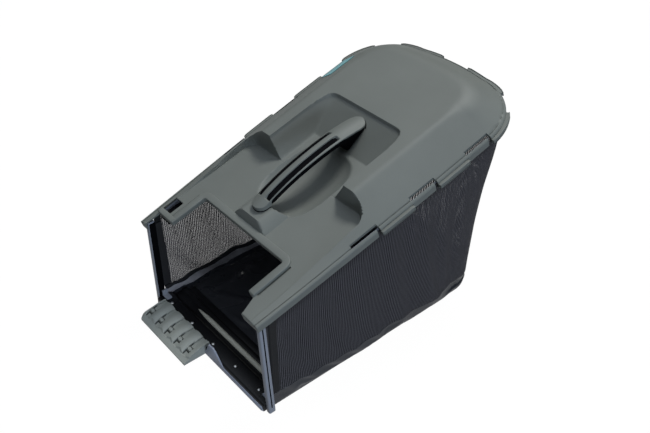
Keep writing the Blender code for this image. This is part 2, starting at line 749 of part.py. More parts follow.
def bag_floor():
    """Coated floor with its turned-up sides."""
    rings_out = []
    rings_in = []
    for walk in bag_shares():
        share = (walk - BAG_FRONT_WALK) / (HALF_WALK - BAG_FRONT_WALK)
        x0, y0 = base_point(share, 0.0)
        x1, y1 = base_point(share, CLOTH)
        top_out = point_at_height(walk, BASE_SIDE_HEIGHT, 0.0)
        top_in = point_at_height(walk, BASE_SIDE_HEIGHT, CLOTH)
        rings_out.append([(x0, y0, 0.0), tuple(top_out)])
        rings_in.append([(x1, y1, CLOTH), tuple(top_in)])
    low = [ring[0] for ring in rings_out]
    high = [ring[1] for ring in rings_out]
    inner_high = [ring[1] for ring in rings_in]
    inner_low = [ring[0] for ring in rings_in]
    return mirrored_loft("bag_floor", [low, high, inner_high, inner_low], open_front=True, look=COATED)


def seam_tape():
    """Binding tape over the seam between mesh and floor, inside the bag."""
    rings = []
    gap = CLOTH + SEAT_CLEARANCE
    for walk in bag_shares():
        low = BASE_SIDE_HEIGHT - TAPE_WIDTH / 2.0 + TAPE_RISE / 2.0
        high = low + TAPE_WIDTH
        rings.append([tuple(point_at_height(walk, low, gap)), tuple(point_at_height(walk, high, gap)),
                      tuple(point_at_height(walk, high, gap + CLOTH)), tuple(point_at_height(walk, low, gap + CLOTH))])
    return mirrored_sweep("seam_tape", rings, BLACK_PLASTIC)


def strip_section(walk):
    """Section of the clip strip against the inner face of the bag's wall."""
    gap = CLOTH + SEAT_CLEARANCE
    ring = []
    back = gap + STRIP_WALL
    for inset, drop in ((gap, STRIP_DROP), (gap, 0.0), (back, 0.0), (back, STRIP_DROP)):
        top = bag_wall_point(walk, 1.0, inset)
        ring.append(tuple(bag_wall_point(walk, 1.0 - drop / top.z, inset)))
    return ring


def clip_strip(side):
    """Plastic edging sewn inside the bag's top, which the cover's fingers clip onto."""
    name = "clip_strip_right" if side > 0 else "clip_strip_left"
    walks = [walk for walk in bag_shares() if BAG_FRONT_WALK + HEM_WIDTH < walk <= CORNER_V]
    rings = [[(side * x, y, z) for x, y, z in strip_section(walk)] for walk in walks]
    return add_object(name, *ring_solid(rings), look=BLUE_GREY)


def back_clip_strip():
    walks = [walk for walk in bag_shares() if walk > CORNER_V]
    return mirrored_sweep("clip_strip_back", [strip_section(walk) for walk in walks], BLUE_GREY)


def bevelled_bar(name, low, high, width, depth, look, chamfer=1.5):
    """Upright bar between two centre points, with chamfered edges."""
    rings = []
    w = width / 2.0
    d = depth / 2.0
    c = chamfer
    for cx, cy, z in (low, high):
        ring = [(w, d - c), (w - c, d), (c - w, d), (-w, d - c)]
        ring += [(-x, -y) for x, y in ring]
        rings.append([(cx + x, cy + y, z) for x, y in ring])
    return add_object(name, *ring_solid(rings), look=look)


def post_top_height():
    """Posts end just below the cover's front zone."""
    under_n = -COVER_WALL * RIM_UNDER - SEAT_CLEARANCE
    v_front = POST_TOP_Y / math.cos(COVER_TILT)
    return FRONT_HEIGHT + v_front * math.sin(COVER_TILT) + under_n / math.cos(COVER_TILT) - 0.4


def post_x(z):
    """Middle of the post at a height; the posts lean in towards the cover."""
    return POST_FOOT_X + (POST_TOP_X - POST_FOOT_X) * z / post_top_height()


def front_post(side):
    name = "post_right" if side > 0 else "post_left"
    centre = POST_DEPTH / 2.0
    foot = (side * POST_FOOT_X, POST_FOOT_Y + centre, 0.0)
    top = (side * POST_TOP_X, POST_TOP_Y + centre, post_top_height())
    return bevelled_bar(name, foot, top, POST_WIDTH, POST_DEPTH, BLUE_GREY)


def sill_section():
    """Profile of the floor sill (y, z): front wall, top step and the plate that runs into the bag."""
    top = SILL_HEIGHT
    low = CLOTH + SEAT_CLEARANCE
    step = SILL_FRONT + SILL_STEP
    plate = low + SILL_PLATE
    rib = plate + SILL_RIB_RISE
    return [(SILL_FRONT, 0.0), (SILL_FRONT, top - SILL_PLATE), (SILL_FRONT + SILL_PLATE, top), (step, top),
            (step + 8.0, plate), (SILL_BACK - SILL_RIB, plate), (SILL_BACK - SILL_RIB + 1.0, rib),
            (SILL_BACK, rib), (SILL_BACK, low), (BASE_START - 1.0, low), (BASE_START - 1.0, 0.0)]


def tongue_top(y):
    """Convex top of the tongue: from its front edge up to the sill."""
    t = (y - SILL_FRONT + TONGUE_REACH) / (TONGUE_REACH + TONGUE_OVERLAP / 2.0)
    t = min(max(t, 0.0), 1.0)
    return TONGUE_EDGE + (SILL_HEIGHT + TONGUE_RISE - TONGUE_EDGE) * math.sin(t * math.pi / 2.0)


def sill(frame_name="sill"):
    rings = []
    for x in (-SILL_HALF, SILL_HALF):
        rings.append([(x, y, z) for y, z in sill_section()])
    body = add_object(frame_name, *ring_solid(rings), look=BLACK_PLASTIC)
    combine(body, tongue_blank(), "UNION")
    for i in range(TONGUE_RIBS):
        for part in rib_channels(i):
            combine(body, part, "DIFFERENCE")
    combine(body, gusset(), "UNION")
    return body


def tongue_curve(steps=7):
    """Side curve of the tongue's top, from the front edge to the sill."""
    out = []
    for i in range(steps + 1):
        y = SILL_FRONT - TONGUE_REACH + (TONGUE_REACH + TONGUE_OVERLAP) * i / steps
        out.append((y, tongue_top(y)))
    return out


def tongue_blank():
    curve = tongue_curve()
    front_y = curve[0][0]
    under = [(curve[-1][0], 2.0), (SILL_FRONT - 1.0, 2.0), (SILL_FRONT - 8.0, 0.5)]
    profile = [(front_y, 0.5)] + curve + under
    rings = []
    corner = TONGUE_CORNER
    for x, shift in ((TONGUE_START_X, corner), (TONGUE_START_X + corner, 0.0), (TONGUE_END_X, 0.0)):
        ring = []
        for y, z in profile:
            ring.append((x, max(y, front_y + shift) if y < front_y + corner else y, z))
        rings.append(ring)
    return add_object("tongue_blank", *ring_solid(rings))


def rib_channels(i):
    """Channel i between two bands of the tongue, cut in two lengths so that a block is left."""
    pitch = (TONGUE_END_X - TONGUE_START_X) / TONGUE_RIBS
    centre = TONGUE_START_X + pitch * (i + 0.5)
    half = CHANNEL_HALF
    reach = TONGUE_REACH
    y0 = SILL_FRONT - reach
    spans = ((y0 + 8.0, y0 + reach * 0.43), (y0 + reach * 0.57, y0 + reach + 1.0))
    parts = []
    for k, (start, end) in enumerate(spans):
        rings = []
        for j in range(4):
            y = start + (end - start) * j / 3.0
            low = tongue_top(y) - CHANNEL_DEPTH
            rings.append([(centre - half, y, low), (centre + half, y, low), (centre + half, y, low + 20.0),
                          (centre - half, y, low + 20.0)])
        parts.append(add_object(f"channel_{i + 1}_{k + 1}", *ring_solid(rings)))
    return parts


def gusset():
    """Upright web where the tongue ends."""
    x0 = TONGUE_END_X + 2.0
    y0 = SILL_FRONT + 0.6
    y1 = y0 + GUSSET_WALL
    run = GUSSET_LENGTH
    low = SILL_HEIGHT - 4.0
    outline = [(x0, 6.0), (x0, GUSSET_TOP * 0.75), (x0 + run * 0.3, GUSSET_TOP), (x0 + run * 0.48, GUSSET_TOP)]
    outline.append((x0 + run, low))
    rings = [[(x, y, z) for x, z in outline] for y in (y0, y1)]
    return add_object("gusset", *ring_solid(rings))


def rivets():
    out = []
    for i in range(RIVET_COUNT):
        x = (i - (RIVET_COUNT - 1) / 2.0) * RIVET_PITCH
        base = SILL_HEIGHT + SEAT_CLEARANCE
        r = RIVET_RADIUS
        profile = [(0.0, 0.0), (r, 0.0), (r, 0.6), (r * 0.72, 1.5), (0.0, 1.9)]
        place = (x, SILL_FRONT + RIVET_IN, base)
        out.append(turned(f"rivet_{i + 1}", profile, place, Matrix.Identity(3), STEEL, 0.9))
    return out


def floor_batten():
    """Flat batten across the bag's floor behind the sill."""
    z0 = CLOTH + SEAT_CLEARANCE
    y0 = SILL_BACK + 1.0
    y1 = y0 + BATTEN_WIDTH
    w = SILL_HALF - 6.0
    outline = [(-w, y0), (w, y0), (w, y1), (-w, y1)]
    return plan_prism("floor_batten", outline, outline, z0, z0 + BATTEN_THICKNESS, look=BLUE_GREY)


def foot_clip(side):
    """Bracket that ties the post's foot to the sill."""
    name = "foot_clip_right" if side > 0 else "foot_clip_left"
    z0 = SILL_HEIGHT + SEAT_CLEARANCE
    z1 = z0 + CLIP_HEIGHT
    x1 = post_x(z1) - POST_WIDTH / 2.0 - SEAT_CLEARANCE
    x0 = x1 - CLIP_REACH
    y0 = SILL_FRONT + TONGUE_OVERLAP + 2.0
    outline = [(side * x0, z0), (side * x1, z0), (side * x1, z1), (side * (x1 - CLIP_WALL), z1),
               (side * (x1 - CLIP_WALL), z0 + CLIP_WALL), (side * x0, z0 + CLIP_WALL)]
    rings = [[(x, y, z) for x, z in outline] for y in (y0, POST_FOOT_Y + POST_DEPTH + 4.0)]
    return add_object(name, *ring_solid(rings), look=BLUE_GREY)


def bag_hem(side):
    """Hem of the mesh beside the front post."""
    name = "hem_right" if side > 0 else "hem_left"
    walk = BAG_FRONT_WALK
    gap = CLOTH + 2.0 * SEAT_CLEARANCE
    low = BASE_SIDE_HEIGHT + BAG_CLEARANCE + TAPE_RISE
    rings = []
    for height_share in (0.0, 1.0):
        ring = []
        for inset, along in ((gap, 0.0), (gap, HEM_WIDTH), (gap + CLOTH, HEM_WIDTH), (gap + CLOTH, 0.0)):
            top = bag_wall_point(walk + along, 1.0, inset)
            start = low / top.z
            end = 1.0 - (STRIP_DROP + 1.0) / top.z
            p = bag_wall_point(walk + along, start + (end - start) * height_share, inset)
            ring.append((side * p.x, p.y, p.z))
        rings.append(ring)
    return add_object(name, *ring_solid(rings), look=BLACK_PLASTIC)


def side_label(frame):
    """Plain coloured label on the left slope, near the back."""
    rings = []
    for share, lift in ((0.14, 0.3), (0.62, 0.3), (0.62, 0.8), (0.14, 0.8)):
        ring = []
        for walk in (LABEL_START, LABEL_START + LABEL_LENGTH):
            a = Vector((*rim_point(walk), 0.0))
            b = Vector((*crest_point(walk), PLATEAU_HEIGHT))
            across = (b - a).normalized()
            square = Vector((-across.z, 0.0, across.x)).normalized()
            if square.z < 0:
                square.negate()
            p = a.lerp(b, share) + square * lift
            ring.append((-p.x, p.y, p.z))
        rings.append(ring)
    sections = [[ring[0] for ring in rings], [ring[1] for ring in rings]]
    return add_object("side_label", *ring_solid(sections), look=TEAL, parent=frame)


def handle_screws(frame):
    """Two screws from below hold the handle's feet."""
    out = []
    flip = Matrix.Rotation(math.pi, 3, "X")
    places = (("handle_screw_front", HANDLE_START + SEAT_LENGTH / 2.0), ("handle_screw_back", HANDLE_END - 22.0))
    for name, v in places:
        under = ZONE_HEIGHT - COVER_WALL - SEAT_CLEARANCE
        if v > RECESS_FLOOR_END:
            under = recess_slope(v - SCREW_RADIUS) - COVER_WALL * (1.0 + RECESS_GAIN) - SEAT_CLEARANCE
        profile = [(0.0, 0.0), (SCREW_RADIUS, 0.0), (SCREW_RADIUS, 1.2), (SCREW_RADIUS * 0.66, 2.6), (0.0, 3.0)]
        out.append(turned(name, profile, (0.0, v, under), flip, STEEL, 0.9, parent=frame))
    return out


def build():
    clear_scene()
    frame = bpy.data.objects.new("cover_frame", None)
    bpy.context.scene.collection.objects.link(frame)
    frame.location = (0.0, -MIDDLE_Y * MM, FRONT_HEIGHT * MM)
    frame.rotation_euler = (COVER_TILT, 0.0, 0.0)
    top_cover(frame)
    handle(frame)
    handle_screws(frame)
    side_label(frame)
    mesh_bag()
    bag_floor()
    seam_tape()
    for side in (1.0, -1.0):
        clip_strip(side)
        front_post(side)
        foot_clip(side)
        bag_hem(side)
    back_clip_strip()
    sill()
    rivets()
    floor_batten()


build()
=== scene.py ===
# %% [markdown]
# # A mower's grass catcher, dressed for the camera
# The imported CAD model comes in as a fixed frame, in metres, and every finish and every soft form is added
# around it. The catcher is a moulded cover that slopes up to the back, a mesh bag hung under its rim, a
# coated floor, and a small front frame that meets the mower.

# %% Load the frame
import math
import bmesh
import bpy
import numpy as np
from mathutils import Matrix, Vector


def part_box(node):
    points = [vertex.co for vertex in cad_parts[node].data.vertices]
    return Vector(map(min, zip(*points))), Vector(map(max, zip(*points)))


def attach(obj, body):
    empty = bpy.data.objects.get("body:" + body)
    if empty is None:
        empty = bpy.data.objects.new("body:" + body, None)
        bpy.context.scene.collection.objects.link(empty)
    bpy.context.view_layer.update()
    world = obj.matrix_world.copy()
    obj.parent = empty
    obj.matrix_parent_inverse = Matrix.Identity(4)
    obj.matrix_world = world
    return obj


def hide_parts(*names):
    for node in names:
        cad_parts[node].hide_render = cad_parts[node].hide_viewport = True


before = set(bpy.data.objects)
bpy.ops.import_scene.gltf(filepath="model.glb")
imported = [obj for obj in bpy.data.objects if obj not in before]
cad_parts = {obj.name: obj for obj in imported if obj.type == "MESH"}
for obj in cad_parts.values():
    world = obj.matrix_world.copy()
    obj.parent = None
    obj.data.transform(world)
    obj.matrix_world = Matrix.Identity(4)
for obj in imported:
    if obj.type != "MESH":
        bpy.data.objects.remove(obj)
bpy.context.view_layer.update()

# %% [markdown]
# The camera repeats the photograph's view. Its place was found from the catcher's straight edges: the rim
# of the mouth, the upright posts and the base edge on the ground. Nothing is turned about the view axis.

# %% Camera
MM = 0.001
IMAGE_WIDTH = 650
FOCAL_PIXELS = 800.0
MOUTH_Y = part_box("sill")[0].y + 38.0 * MM

eye = bpy.data.cameras.new("studio_camera")
eye.sensor_width = 36.0
eye.lens = FOCAL_PIXELS / IMAGE_WIDTH * eye.sensor_width
camera = bpy.data.objects.new("studio_camera", eye)
bpy.context.scene.collection.objects.link(camera)
camera.location = (0.79922, MOUTH_Y - 0.42511, 0.97231)
camera.rotation_euler = (math.radians(90.0 - 37.862), 0.0, math.radians(49.636))
bpy.context.scene.camera = camera
print("camera lens:", round(eye.lens, 2), "mm; mouth at y =", round(MOUTH_Y, 4))

# %% [markdown]
# A pale floor catches a soft shadow. One soft lamp stands high behind the catcher, as the photograph's
# shadows in the front zone tell, and a cooler one stands low on the right, where the mesh wall faces it.

# %% Studio
def lamp(name, place, target, size, power, tint):
    """A square soft lamp that points at a target."""
    data = bpy.data.lights.new(name, "AREA")
    data.size = size
    data.energy = power
    data.color = tint
    thing = bpy.data.objects.new(name, data)
    bpy.context.scene.collection.objects.link(thing)
    thing.location = place
    thing.rotation_euler = (Vector(target) - Vector(place)).to_track_quat("-Z", "Y").to_euler()
    return thing


lamp("key_lamp", (-0.25, 1.7, 3.8), (0.0, 0.0, 0.2), 0.9, 88.0, (1.0, 0.995, 0.95))
lamp("side_lamp", (3.4, -0.7, 0.4), (0.0, 0.0, 0.2), 1.2, 56.0, (0.72, 0.84, 1.0))

bpy.ops.mesh.primitive_plane_add(size=12.0, location=(0.0, 0.0, -0.0006))
floor = bpy.context.object
floor.name = "studio_floor"
bpy.context.scene.view_settings.view_transform = "Standard"


# %% [markdown]
# Shader sums are easier to read as sums. The class below wraps one socket, so that `a * 2 + b` adds the
# Math nodes by itself, and a workbench keeps the material and its tree together.

# %% Sockets that add up
class Socket:
    """One output of a node. Arithmetic on it adds Math nodes."""

    def __init__(self, bench, socket):
        self.bench = bench
        self.socket = socket

    def maths(self, operation, other=None, flipped=False, clamp=False):
        first, second = (other, self) if flipped else (self, other)
        values = [first] if second is None else [first, second]
        settings = {"operation": operation, "use_clamp": clamp}
        return self.bench.node("ShaderNodeMath", settings, *values)

    def __add__(self, other):
        return self.maths("ADD", other)

    __radd__ = __add__

    def __sub__(self, other):
        return self.maths("SUBTRACT", other)

    def __rsub__(self, other):
        return self.maths("SUBTRACT", other, flipped=True)

    def __mul__(self, other):
        return self.maths("MULTIPLY", other)

    def __truediv__(self, other):
        return self.maths("DIVIDE", other)

    def smaller(self, other):
        return self.maths("MINIMUM", other)

    def larger(self, other):
        return self.maths("MAXIMUM", other)

    def above(self, limit):
        return self.maths("GREATER_THAN", limit)

    def wave(self):
        """Sine of the value, brought to 0..1."""
        return self.maths("SINE") * 0.5 + 0.5

    def clamped(self):
        return self.maths("ADD", 0.0, clamp=True)


class Bench:
    """A material being made: its tree, its Principled shader and the coordinates it reads."""

    def __init__(self, name, colour, roughness, metallic=0.0):
        self.material = bpy.data.materials.new(name)
        self.material.use_nodes = True
        self.tree = self.material.node_tree
        self.shader = self.tree.nodes["Principled BSDF"]
        self.shader.inputs["Base Color"].default_value = (*colour, 1.0)
        self.shader.inputs["Roughness"].default_value = roughness
        self.shader.inputs["Metallic"].default_value = metallic
        self.material.diffuse_color = (*colour, 1.0)
        self.places = {}

    def fill(self, socket, value):
        if isinstance(value, Socket):
            self.tree.links.new(value.socket, socket)
        elif isinstance(value, (tuple, list)) and len(value) == 3 and socket.type == "RGBA":
            socket.default_value = (*value, 1.0)
        else:
            socket.default_value = value

    def node(self, kind, settings=None, *values, output=0, **named):
        made = self.tree.nodes.new(kind)
        for key, value in (settings or {}).items():
            setattr(made, key, value)
        for i, value in enumerate(values):
            self.fill(made.inputs[i], value)
        for key, value in named.items():
            self.fill(made.inputs[key.replace("_", " ")], value)
        return Socket(self, made.outputs[output])

    def place(self, kind="Object"):
        if kind not in self.places:
            made = self.tree.nodes.new("ShaderNodeTexCoord")
            self.places[kind] = Socket(self, made.outputs[kind])
        return self.places[kind]

    def parts(self, kind="Object"):
        """X, Y and Z of the coordinates, each a socket."""
        made = self.tree.nodes.new("ShaderNodeSeparateXYZ")
        self.fill(made.inputs[0], self.place(kind))
        return [Socket(self, made.outputs[i]) for i in range(3)]

    def noise(self, scale, detail=2.0, roughness=0.5, kind="Object"):
        return self.node("ShaderNodeTexNoise", None, Vector=self.place(kind), Scale=scale, Detail=detail,
                         Roughness=roughness)

    def mix(self, share, low, high):
        made = self.tree.nodes.new("ShaderNodeMix")
        made.data_type = "RGBA"
        self.fill(made.inputs[0], share)
        self.fill(made.inputs[6], low)
        self.fill(made.inputs[7], high)
        return Socket(self, made.outputs[2])

    def ramp(self, value, low, high):
        """Value mapped so that low gives 0 and high gives 1."""
        return ((value - low) / (high - low)).clamped()

    def set(self, name, value):
        self.fill(self.shader.inputs[name], value)

    def bump(self, height, strength, distance):
        made = self.node("ShaderNodeBump", None, Height=height, Strength=strength, Distance=distance)
        self.set("Normal", made)


# %% [markdown]
# To the camera the sky is plain white. To everything else it is bright overhead and dim at the horizon, so
# that steep faces go dark while the sloping cover stays grey. The floor glows white for the camera, mirrors
# less of it in gloss, and sends back little light of its own.

# %% Sky and floor
def studio_white():
    world = bpy.data.worlds.new("studio_sky")
    bpy.context.scene.world = world
    world.use_nodes = True
    tree = world.node_tree
    sky = tree.nodes["Background"]
    rays = tree.nodes.new("ShaderNodeLightPath")
    white = tree.nodes.new("ShaderNodeBackground")
    white.inputs["Color"].default_value = (1.0, 1.0, 1.0, 1.0)
    white.inputs["Strength"].default_value = 1.0
    sky.inputs["Color"].default_value = (0.82, 0.90, 1.0, 1.0)
    where = tree.nodes.new("ShaderNodeTexCoord")
    split = tree.nodes.new("ShaderNodeSeparateXYZ")
    tree.links.new(where.outputs["Generated"], split.inputs[0])
    rise = tree.nodes.new("ShaderNodeMapRange")
    rise.interpolation_type = "SMOOTHSTEP"
    for key, value in (("From Min", 0.5), ("From Max", 1.0), ("To Min", 0.02), ("To Max", 1.1)):
        rise.inputs[key].default_value = value
    tree.links.new(split.outputs["Z"], rise.inputs["Value"])
    tree.links.new(rise.outputs["Result"], sky.inputs["Strength"])
    seen = tree.nodes.new("ShaderNodeMath")
    seen.operation = "MAXIMUM"
    tree.links.new(rays.outputs["Is Camera Ray"], seen.inputs[0])
    tree.links.new(rays.outputs["Is Transmission Ray"], seen.inputs[1])
    blend = tree.nodes.new("ShaderNodeMixShader")
    tree.links.new(seen.outputs[0], blend.inputs[0])
    tree.links.new(sky.outputs[0], blend.inputs[1])
    tree.links.new(white.outputs[0], blend.inputs[2])
    tree.links.new(blend.outputs[0], tree.nodes["World Output"].inputs[0])


studio_white()


def floor_finish():
    bench = Bench("studio_floor_paint", (0.32, 0.32, 0.32), 0.9)
    bench.shader.inputs["Specular IOR Level"].default_value = 0.1
    glow = bench.tree.nodes.new("ShaderNodeEmission")
    glow.inputs["Color"].default_value = (1.0, 1.0, 1.0, 1.0)
    glow.inputs["Strength"].default_value = 1.06
    blend = bench.tree.nodes.new("ShaderNodeMixShader")
    rays = bench.tree.nodes.new("ShaderNodeLightPath")
    share = Socket(bench, rays.outputs["Is Camera Ray"]) * 0.93
    share = share + Socket(bench, rays.outputs["Is Glossy Ray"]) * 0.4
    bench.fill(bench.shader.inputs["Base Color"], 0.32 - Socket(bench, rays.outputs["Is Diffuse Ray"]) * 0.22)
    bench.fill(blend.inputs[0], share)
    bench.tree.links.new(bench.shader.outputs[0], blend.inputs[1])
    bench.tree.links.new(glow.outputs[0], blend.inputs[2])
    bench.tree.links.new(blend.outputs[0], bench.tree.nodes["Material Output"].inputs[0])
    return bench.material


floor.data.materials.append(floor_finish())


# %% [markdown]
# The moulded parts share one recipe: a matt spark-eroded grain that only shows near by, faint clouding of
# the colour from handling, and a slightly uneven sheen.

# %% Moulded plastic
def moulded(name, colour, roughness, grain=1.0, clouding=0.08, shine=0.5, grooves=""):
    bench = Bench(name, colour, roughness)
    bench.shader.inputs["Specular IOR Level"].default_value = shine
    cloud = bench.noise(9.0, 3.0, 0.6)
    fine = bench.noise(900.0, 2.0, 0.6)
    pores = bench.noise(2600.0, 1.0, 0.5)
    dark = tuple(c * (1.0 - clouding) for c in colour)
    light = tuple(c * (1.0 + clouding) for c in colour)
    tone = bench.mix(bench.ramp(cloud * 0.7 + fine * 0.3, 0.3, 0.7), dark, light)
    # A grooves attribute paints the colour nearly black there: dirt, and painted shade in the narrow grooves.
    if grooves:
        depth = bench.node("ShaderNodeAttribute", {"attribute_name": grooves}, output=2)
        tone = bench.mix(depth, tone, tuple(c * 0.08 for c in colour))
    bench.set("Base Color", tone)
    bench.set("Roughness", (roughness - 0.06) + cloud * 0.12)
    bench.bump(fine * 0.6 + pores * 0.4, 0.22 * grain, 0.00025)
    return bench.material


COVER_OLIVE = (0.160, 0.172, 0.160)
cover_plastic = moulded("cover_plastic", COVER_OLIVE, 0.56, shine=0.35)
tongue_plastic = moulded("tongue_plastic", (0.34, 0.36, 0.33), 0.4, 2.5, 0.14, grooves="grooves")
# Pale plastic for the bar behind the sill: its colour is a painted highlight.
highlight_bar_plastic = moulded("highlight_bar_plastic", (0.5, 0.49, 0.42), 0.4)
lip_plastic = moulded("lip_plastic", (0.36, 0.39, 0.47), 0.35)
grip_rubber = moulded("grip_rubber", (0.004, 0.004, 0.005), 0.75, shine=0.02)
grey_plastic = moulded("frame_plastic", (0.28, 0.30, 0.35), 0.42)
black_plastic = moulded("sill_plastic", (0.006, 0.006, 0.007), 0.42, shine=0.3)
print("plastics:", cover_plastic.name, grey_plastic.name, black_plastic.name)


def steel_finish():
    bench = Bench("turned_steel", (0.56, 0.56, 0.55), 0.3, 1.0)
    rings = bench.noise(700.0, 2.0, 0.6)
    bench.set("Roughness", 0.24 + rings * 0.16)
    bench.bump(rings, 0.15, 0.0002)
    return bench.material


def label_finish():
    bench = Bench("label_film", (0.02, 0.30, 0.34), 0.3)
    grain = bench.noise(160.0, 2.0, 0.5)
    bench.set("Base Color", bench.mix(grain, (0.015, 0.27, 0.31), (0.03, 0.34, 0.38)))
    bench.set("Roughness", 0.26 + grain * 0.1)
    return bench.material


def tape_finish():
    bench = Bench("binding_tape", (0.012, 0.012, 0.014), 0.7)
    x, y, z = bench.parts()
    twill = ((x + y + z * 1.3) * (2.0 * math.pi / 0.0016)).wave()
    bench.set("Base Color", bench.mix(twill, (0.008, 0.008, 0.009), (0.028, 0.027, 0.031)))
    bench.set("Roughness", 0.62 + twill * 0.18)
    bench.bump(twill, 0.35, 0.0004)
    return bench.material


steel = steel_finish()
label_film = label_finish()
tape = tape_finish()
webbing = moulded("seam_webbing", (0.42, 0.41, 0.43), 0.8, 2.0, 0.5, shine=0.1)


# %% [markdown]
# The bag's walls are a knitted mesh: fine upright ribs a few millimetres apart, with tiny holes between
# them. Light that comes through the holes is what makes the far wall look greyer from inside. The mesh is
# opaque along its hems, and painted darker under the rim as painted shade for the rim's shadow. The
# pattern reads the wall's own UV map, whose units are metres along the rim and up the wall.

# %% Mesh and coated cloth
SLOPE = math.radians(16.5)
RIM_AT_MOUTH = 0.1811
RIM_AT_BACK = 0.342
MESH_PITCH = 0.0036
MESH_HALF_LENGTH = 0.6665


def mesh_finish():
    bench = Bench("bag_mesh", (0.03, 0.028, 0.032), 0.85)
    u, v = bench.parts("UV")[:2]
    drift = bench.noise(14.0, 2.0, 0.5, "UV")
    fuzz = bench.noise(420.0, 2.0, 0.6, "UV")
    ribs = ((u + (drift - 0.5) * 0.003) * (2.0 * math.pi / MESH_PITCH)).wave()
    ties = ((v + ribs * 0.0003) * (2.0 * math.pi / 0.0014)).wave()
    thread = (ribs * 0.85 + ties * 0.15 + (fuzz - 0.5) * 0.4).clamped()
    hem = (u * u).above((MESH_HALF_LENGTH - 0.014) ** 2)
    knit = bench.mix(thread * thread, (0.008, 0.007, 0.009), (0.13, 0.123, 0.136))
    # Painted shade: the mesh's colour darkens towards the rim, where the rim's shadow falls on it.
    behind = MESH_HALF_LENGTH + 0.022 - u.maths("ABSOLUTE")
    rim = (RIM_AT_MOUTH + behind * math.sin(SLOPE)).smaller(RIM_AT_BACK)
    painted_rim_shade = bench.ramp(v - rim, -0.03, -0.004) * 0.75
    bench.set("Base Color", bench.mix(hem.larger(painted_rim_shade), knit, (0.004, 0.004, 0.005)))
    bench.set("Roughness", 0.75 + fuzz * 0.2)
    hole = ((1.0 - ribs) * (1.0 - ties)).above(0.42) * (1.0 - hem)
    bench.set("Alpha", 1.0 - hole * 0.85)
    bench.bump(thread, 0.5, 0.0006)
    return bench.material


def coated_finish():
    bench = Bench("coated_cloth", (0.02, 0.021, 0.024), 0.26)
    weave = bench.noise(1100.0, 2.0, 0.5)
    cockle = bench.noise(26.0, 3.0, 0.55)
    dust = bench.noise(7.0, 3.0, 0.6)
    bench.set("Base Color", bench.mix(dust, (0.02, 0.021, 0.025), (0.042, 0.044, 0.052)))
    bench.set("Roughness", 0.2 + dust * 0.16)
    bench.bump(cockle * 0.8 + weave * 0.2, 0.3, 0.002)
    return bench.material


mesh_cloth = mesh_finish()
coated_cloth = coated_finish()
print("mesh ribs:", round(2.0 * MESH_HALF_LENGTH / MESH_PITCH), "round the bag")


# %% [markdown]
# Many small parts are right as they come from the CAD. A copy of each is merged, its flat faces are joined,
# and its edges are rounded a little, as a mould leaves them. The copy then stands for the CAD node.

# %% Softened copies
def only(thing):
    """Select one object and make it active."""
    bpy.ops.object.select_all(action="DESELECT")
    thing.select_set(True)
    bpy.context.view_layer.objects.active = thing
    return thing


def open_mesh(thing):
    """Select a whole mesh for edit-mode steps."""
    only(thing)
    bpy.ops.object.mode_set(mode="EDIT")
    bpy.ops.mesh.select_all(action="SELECT")


def close_mesh():
    bpy.ops.object.mode_set(mode="OBJECT")


def shaded(thing, angle):
    only(thing)
    bpy.ops.object.shade_smooth_by_angle(angle=math.radians(angle))
    return thing


def dress(thing, finish, angle=0.0):
    """Finish and body of a piece, and smooth shading below the angle if one is given."""
    if angle:
        shaded(thing, angle)
    thing.data.materials.clear()
    thing.data.materials.append(finish)
    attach(thing, "root")
    return thing


def rounded(thing, width, angle):
    """Bevel on the edges sharper than the angle."""
    only(thing)
    step = thing.modifiers.new("rounded", "BEVEL")
    step.width = width
    step.segments = 2
    step.limit_method = "ANGLE"
    step.angle_limit = math.radians(angle)
    bpy.ops.object.modifier_apply(modifier=step.name)


def softened(node, name, finish, width=0.0):
    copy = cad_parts[node].copy()
    copy.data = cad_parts[node].data.copy()
    copy.name = name
    copy.parent = None
    for key in list(copy.keys()):
        del copy[key]
    bpy.context.scene.collection.objects.link(copy)
    open_mesh(copy)
    bpy.ops.mesh.remove_doubles(threshold=2e-6)
    bpy.ops.mesh.dissolve_limited(angle_limit=math.radians(1.0))
    close_mesh()
    if width:
        rounded(copy, width, 28.0)
    dress(copy, finish, 30.0)
    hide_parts(node)
    return copy


# %% [markdown]
# The cover is one moulding, so it is modelled as one skin. On the real part the maker's tool gives each
# wall its draft and every edge a small radius. A flat grid is laid over the plan, its rows and columns are
# packed where edges run, and one height function lifts it: sloping sides, plateau, sunken front zone,
# handle recess, finger scoop and seat boss, blended with small radii. A height function keeps the long
# edges smooth, which bevelled CAD facets can't do here.

# %% Sizes of the cover in its own sloping frame, in millimetres
TILT = SLOPE
FRONT_HEIGHT = 183.0
COVER_LENGTH = 566.0
MOUTH_HALF = 155.0
BACK_HALF = 171.0
SIDE_BOW = 1.6
CORNER_RX = 101.0
CORNER_RV = 98.0
CROWN = 6.0
CORNER_X = BACK_HALF - CORNER_RX
CORNER_V = COVER_LENGTH - CROWN - CORNER_RV
CORNER_ARC = math.pi * 0.25 * (CORNER_RX + CORNER_RV)
HALF_WALK = CORNER_V + CORNER_ARC + CORNER_X
SKIRT = 11.0
WALL = 3.0
EDGE_RADIUS = 2.0
ZONE = 4.0
ZONE_HALF = 141.0
ZONE_END = 228.0
ZONE_CORNER = 24.0
CUT_HALF = 101.5
CUT_END = 96.5
CUT_CORNER = 5.0
LIP = 12.0
LIP_START = 33.0
RECESS_HALF = 66.0
RECESS_START = 303.0
RECESS_LENGTH = 63.0
RECESS_LOW = 3.7
RECESS_RISE = 32.5
BOSS_HALF = 40.0
BOSS_FRONT = 117.0
BOSS_TOP = 20.0
SCOOP_HALF = 58.0
SCOOP_REACH = 73.5
SCOOP_MIDDLE = 223.5
SCOOP_POWER = 2.78
HANDLE_START = 127.0
HANDLE_END = 356.0
GROOVE = 5.1
BURIED = -20.0
